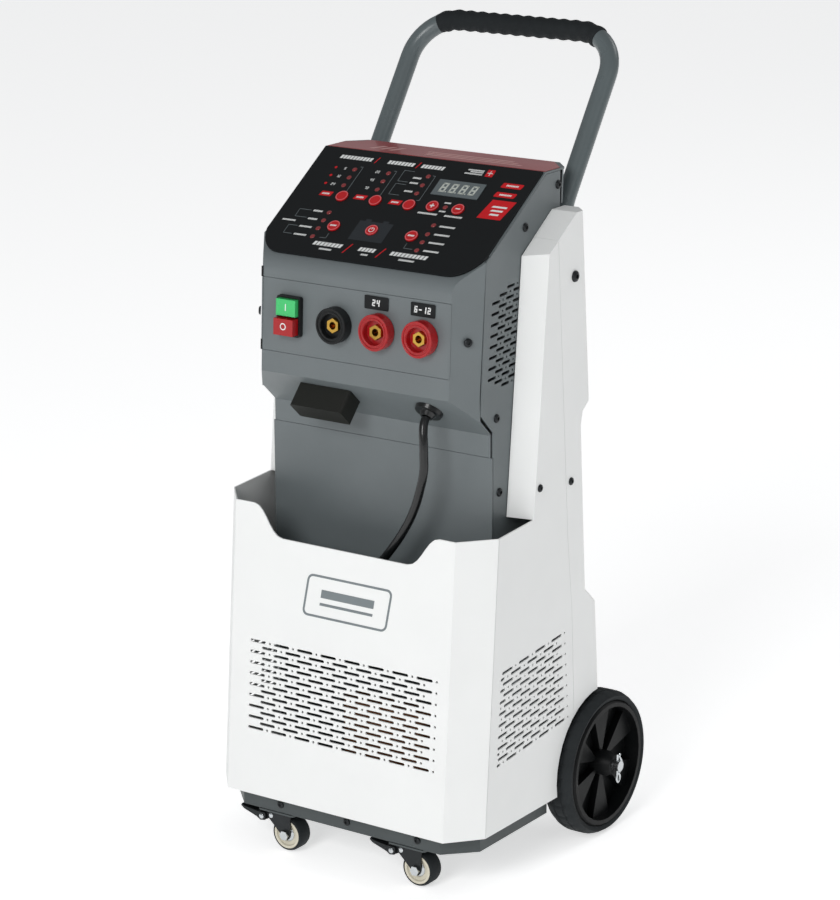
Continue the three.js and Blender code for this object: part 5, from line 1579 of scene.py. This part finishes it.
@dataclass
class FrontMarks:
    """Plates and marks on the front: socket figures, switch marks and the panel's empty frame."""

    lean: float = 0.05065
    fascia: Point = (-141.0, 526.5)
    panel: Point = (-161.0, 386.0)
    panel_lean: float = 0.08
    seam_x: float = 119.0
    seam_z: Point = (549.0, 626.6)
    socket_z: float = 588.0
    socket_proud: float = 11.3
    sockets: dict[str, tuple[float, Finish]] = field(default_factory=lambda: {
        "negative": (-22.0, BLACK_NYLON), "positive_24v": (32.0, RED_ABS), "positive_12v": (86.0, RED_ABS),
    })

    def fascia_frame(self, z: float, proud: float) -> Matrix:
        """Gives the placement on the leaning fascia at a height, standing proud of it.

        Args:
            z: Height, in millimetres.
            proud: Distance in front of the surface, in millimetres.

        Returns:
            The placement.
        """
        out = Vector((0, -1, self.lean)).normalized()
        up = Vector((0, self.lean, 1)).normalized()
        y = self.fascia[0] + (z - self.fascia[1]) * self.lean
        return basis((0, y, z), Vector((1, 0, 0)), up, out) @ Matrix.Translation((0, 0, proud * MM))

    def flat(
        self, name: str, outlines: list[Outline], frame: Matrix, finish: Finish, high: float,
        body: Body = Body.CHASSIS
    ) -> None:
        """Lays thin shapes in a placement.

        Args:
            name: Name of the piece.
            outlines: Shapes to lay.
            frame: Placement in metres.
            finish: Its finish.
            high: Thickness of the shapes, in millimetres.
            body: Body that it rides on.
        """
        shape = bmesh.new()
        for outline in outlines:
            add_prism(shape, outline, 0.03, high, frame)
        place(name, from_bmesh(shape), finish, body.value)

    def build(self) -> None:
        """Makes the socket plates, the switch marks, the painted shade of the seam slits and the panel frame.
        """
        plate = self.fascia_frame(616.5, 0)
        for name, x, text in (("24", 27.6, "24"), ("12", 85.4, "6-12")):
            self.flat(f"socket_plate_{name}", [rounded_bar(x, 0, 15, 7, 1.2)], plate, FILM, 0.5)
            width = len(text) * 7 * 0.78
            shapes = []
            for i, char in enumerate(text):
                shapes += figure(char, x - width / 2 + i * 7 * 0.78, -3.5, 7, 1.4, 0.1)
            self.flat(
                f"socket_figures_{name}", shapes, plate @ Matrix.Translation((0, 0, 0.5 * MM)), FILM_WHITE,
                0.12
            )
        on = self.fascia_frame(599.7, 10.3)
        self.flat("switch_on_mark", [bar(-81.6, -80.4, -3.6, 3.6)], on, FILM_WHITE, 0.15, Body.SWITCH_ON)
        off = self.fascia_frame(579.9, 14.3)
        ring = [
            [(-81 + r * math.cos(t), r * math.sin(t)) for r, t in ((2.7, a), (3.8, a), (3.8, b), (2.7, b))]
            for a, b in ((math.tau * i / 20, math.tau * (i + 1) / 20) for i in range(20))
        ]
        self.flat("switch_off_mark", ring, off, FILM_WHITE, 0.15, Body.SWITCH_OFF)
        # Each seam slit is drawn as a thin black block: painted shade for the dark inside of the slit.
        slits = bmesh.new()
        for z in (626.6, 549.0):
            add_prism(slits, bar(-120.6, -118.4, 0, 11), -1.6, 0.15, self.fascia_frame(z, 0))
        place("fascia_slit_shade", from_bmesh(slits), BLACK_NYLON, Body.CHASSIS.value)
        self.build_seam_fill()
        self.build_socket_rings()
        self.build_panel_frame()

    def build_seam_fill(self) -> None:
        """Fills the upright seams of the fascia flush, so that it reads as one bent sheet."""
        low, high = self.seam_z
        shape = bmesh.new()
        for side in (1, -1):
            x = side * self.seam_x
            add_prism(shape, bar(x - 0.8, x + 0.8, 0, high - low), 0.0, 0.05, self.fascia_frame(low, 0))
        place("fascia_seam_fill", from_bmesh(shape), GREY_COAT, Body.CHASSIS.value)

    def build_socket_rings(self) -> None:
        """Turns a raised lip and a step on the face of each socket."""
        for name, (x, finish) in self.sockets.items():
            shape = bmesh.new()
            frame = self.fascia_frame(self.socket_z, self.socket_proud) @ Matrix.Translation((x * MM, 0, 0))
            for inner, outer, high in ((16.6, 18.6, 0.9), (13.4, 14.8, 0.6)):
                lip = [
                    (inner, 0.02), (outer, 0.02), (outer, high - 0.3), (outer - 0.3, high),
                    (inner + 0.3, high)
                ]
                add_lathe(shape, [*lip, (inner, high - 0.3), lip[0]], frame, 56)
            bmesh.ops.remove_doubles(shape, verts=shape.verts, dist=1e-6)
            place(f"socket_lips_{name}", from_bmesh(shape), finish, Body.CHASSIS.value)

    def build_panel_frame(self) -> None:
        """Prints the empty rounded frame and two plain stripes on the white front panel."""
        out = Vector((0, -1, -self.panel_lean)).normalized()
        up = Vector((0, self.panel_lean, 1)).normalized()
        y = self.panel[0] - self.panel_lean * (self.panel[1] - 299.5)
        frame = basis((8.4, y, 299.5), Vector((1, 0, 0)), up, out)
        outer = rounded_bar(0, 0, 54.4, 23.2, 7, 0.15)
        inner = rounded_bar(0, 0, 51.9, 20.7, 4.8, 0.15)
        shape = bmesh.new()
        rings = [
            [shape.verts.new(frame @ Vector((x * MM, z * MM, h * MM))) for x, z in ring]
            for h in (0.03, 0.16) for ring in (outer, inner)
        ]
        for i in range(len(outer)):
            j = (i + 1) % len(outer)
            for a, b in ((0, 2), (1, 3), (0, 1), (2, 3)):
                shape.faces.new((rings[a][i], rings[a][j], rings[b][j], rings[b][i]))
        place("panel_frame_line", from_bmesh(shape), FILM_LINE, Body.CHASSIS.value)
        stripes = [
            [
                (x0 + 0.13 * z, z), (x1 + 0.13 * z, z), (x1 + 0.13 * (z + h), z + h),
                (x0 + 0.13 * (z + h), z + h)
            ] for x0,
            x1, z, h in ((-34, 34, -1, 9), (-34, 34, -9.5, 3))
        ]
        self.flat("panel_frame_stripes", stripes, frame, FILM_LINE, 0.14)


@dataclass
class Studio:
    """Pale floor, soft lights and the camera."""

    eye: tuple[float, float, float] = (1870.6, -2714.9, 1349.9)
    yaw: float = 34.77
    pitch: float = 15.68
    roll: float = -0.32
    focal_px: float = 3179.6
    image_px: float = 900.0
    sensor_mm: float = 36.0

    def build(self) -> None:
        """Makes the camera, the floor, the world and the lights."""
        self.build_camera()
        self.build_floor()
        world = bpy.data.worlds.new("studio_sky")
        world.use_nodes = True
        world.node_tree.nodes["Background"].inputs["Color"].default_value = linear("#f7f9fb")
        world.node_tree.nodes["Background"].inputs["Strength"].default_value = 0.29
        bpy.context.scene.world = world
        self.add_light("key_softbox", (0.6, -4.2, 2.6), (0, 0, 0.45), 1.9, 92.0)
        self.add_light("side_softbox", (3.6, -1.0, 2.4), (0, 0, 0.45), 1.8, 6.0)
        self.add_light("back_softbox", (1.2, 3.0, 2.8), (0, 0, 0.6), 1.6, 18.0)
        bpy.context.scene.view_settings.view_transform = "Standard"

    def build_camera(self) -> None:
        """Makes the camera and makes it the scene's own."""
        yaw, pitch, roll = (math.radians(a) for a in (self.yaw, self.pitch, self.roll))
        ahead = Vector((-math.sin(yaw) * math.cos(pitch), math.cos(yaw) * math.cos(pitch), -math.sin(pitch)))
        level = Vector((math.cos(yaw), math.sin(yaw), 0))
        upright = level.cross(ahead)
        right = level * math.cos(roll) + upright * math.sin(roll)
        up = upright * math.cos(roll) - level * math.sin(roll)
        lens = bpy.data.cameras.new("studio_camera")
        lens.sensor_width = self.sensor_mm
        lens.lens = self.focal_px / self.image_px * self.sensor_mm
        lens.clip_end = 100
        camera = bpy.data.objects.new("studio_camera", lens)
        camera.matrix_world = basis(self.eye, right, up, -ahead)
        bpy.context.scene.collection.objects.link(camera)
        bpy.context.scene.camera = camera

    def build_floor(self) -> None:
        """Makes the floor: matt white, a shade rough."""
        shape = bmesh.new()
        corners = [shape.verts.new((x, y, -0.0004)) for x, y in ((-40, -40), (40, -40), (40, 40), (-40, 40))]
        shape.faces.new(corners)
        mesh = bpy.data.meshes.new("floor")
        shape.to_mesh(mesh)
        shape.free()
        mesh.materials.append(PAPER.build())
        floor = bpy.data.objects.new("studio_floor", mesh)
        bpy.context.scene.collection.objects.link(floor)

    def add_light(
        self, name: str, spot: tuple[float, float, float], aim: tuple[float, float, float], size: float,
        power: float
    ) -> None:
        """Adds one square softbox.

        Args:
            name: Name of the light.
            spot: Where it stands, in metres.
            aim: Point that it faces.
            size: Length of its sides, in metres.
            power: Watts.
        """
        light = bpy.data.lights.new(name, "AREA")
        light.size = size
        light.energy = power
        lamp = bpy.data.objects.new(name, light)
        lamp.location = spot
        lamp.rotation_euler = (Vector(aim) - Vector(spot)).to_track_quat("-Z", "Y").to_euler()
        bpy.context.scene.collection.objects.link(lamp)


def main() -> None:
    """Builds the studio, then the machine from its lead outwards."""
    logging.basicConfig(level=logging.INFO, format="%(name)s: %(message)s")
    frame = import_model()
    nodes = frame["nodes"]
    Studio().build()
    MainsLead().build()
    Carried().dress(nodes)
    Panels().build(nodes)
    Handle().build()
    RearWheels().build()
    Casters().build()
    Fasteners().build()
    ControlFace().build()
    FrontMarks().build()


if __name__ == "__main__":
    main()
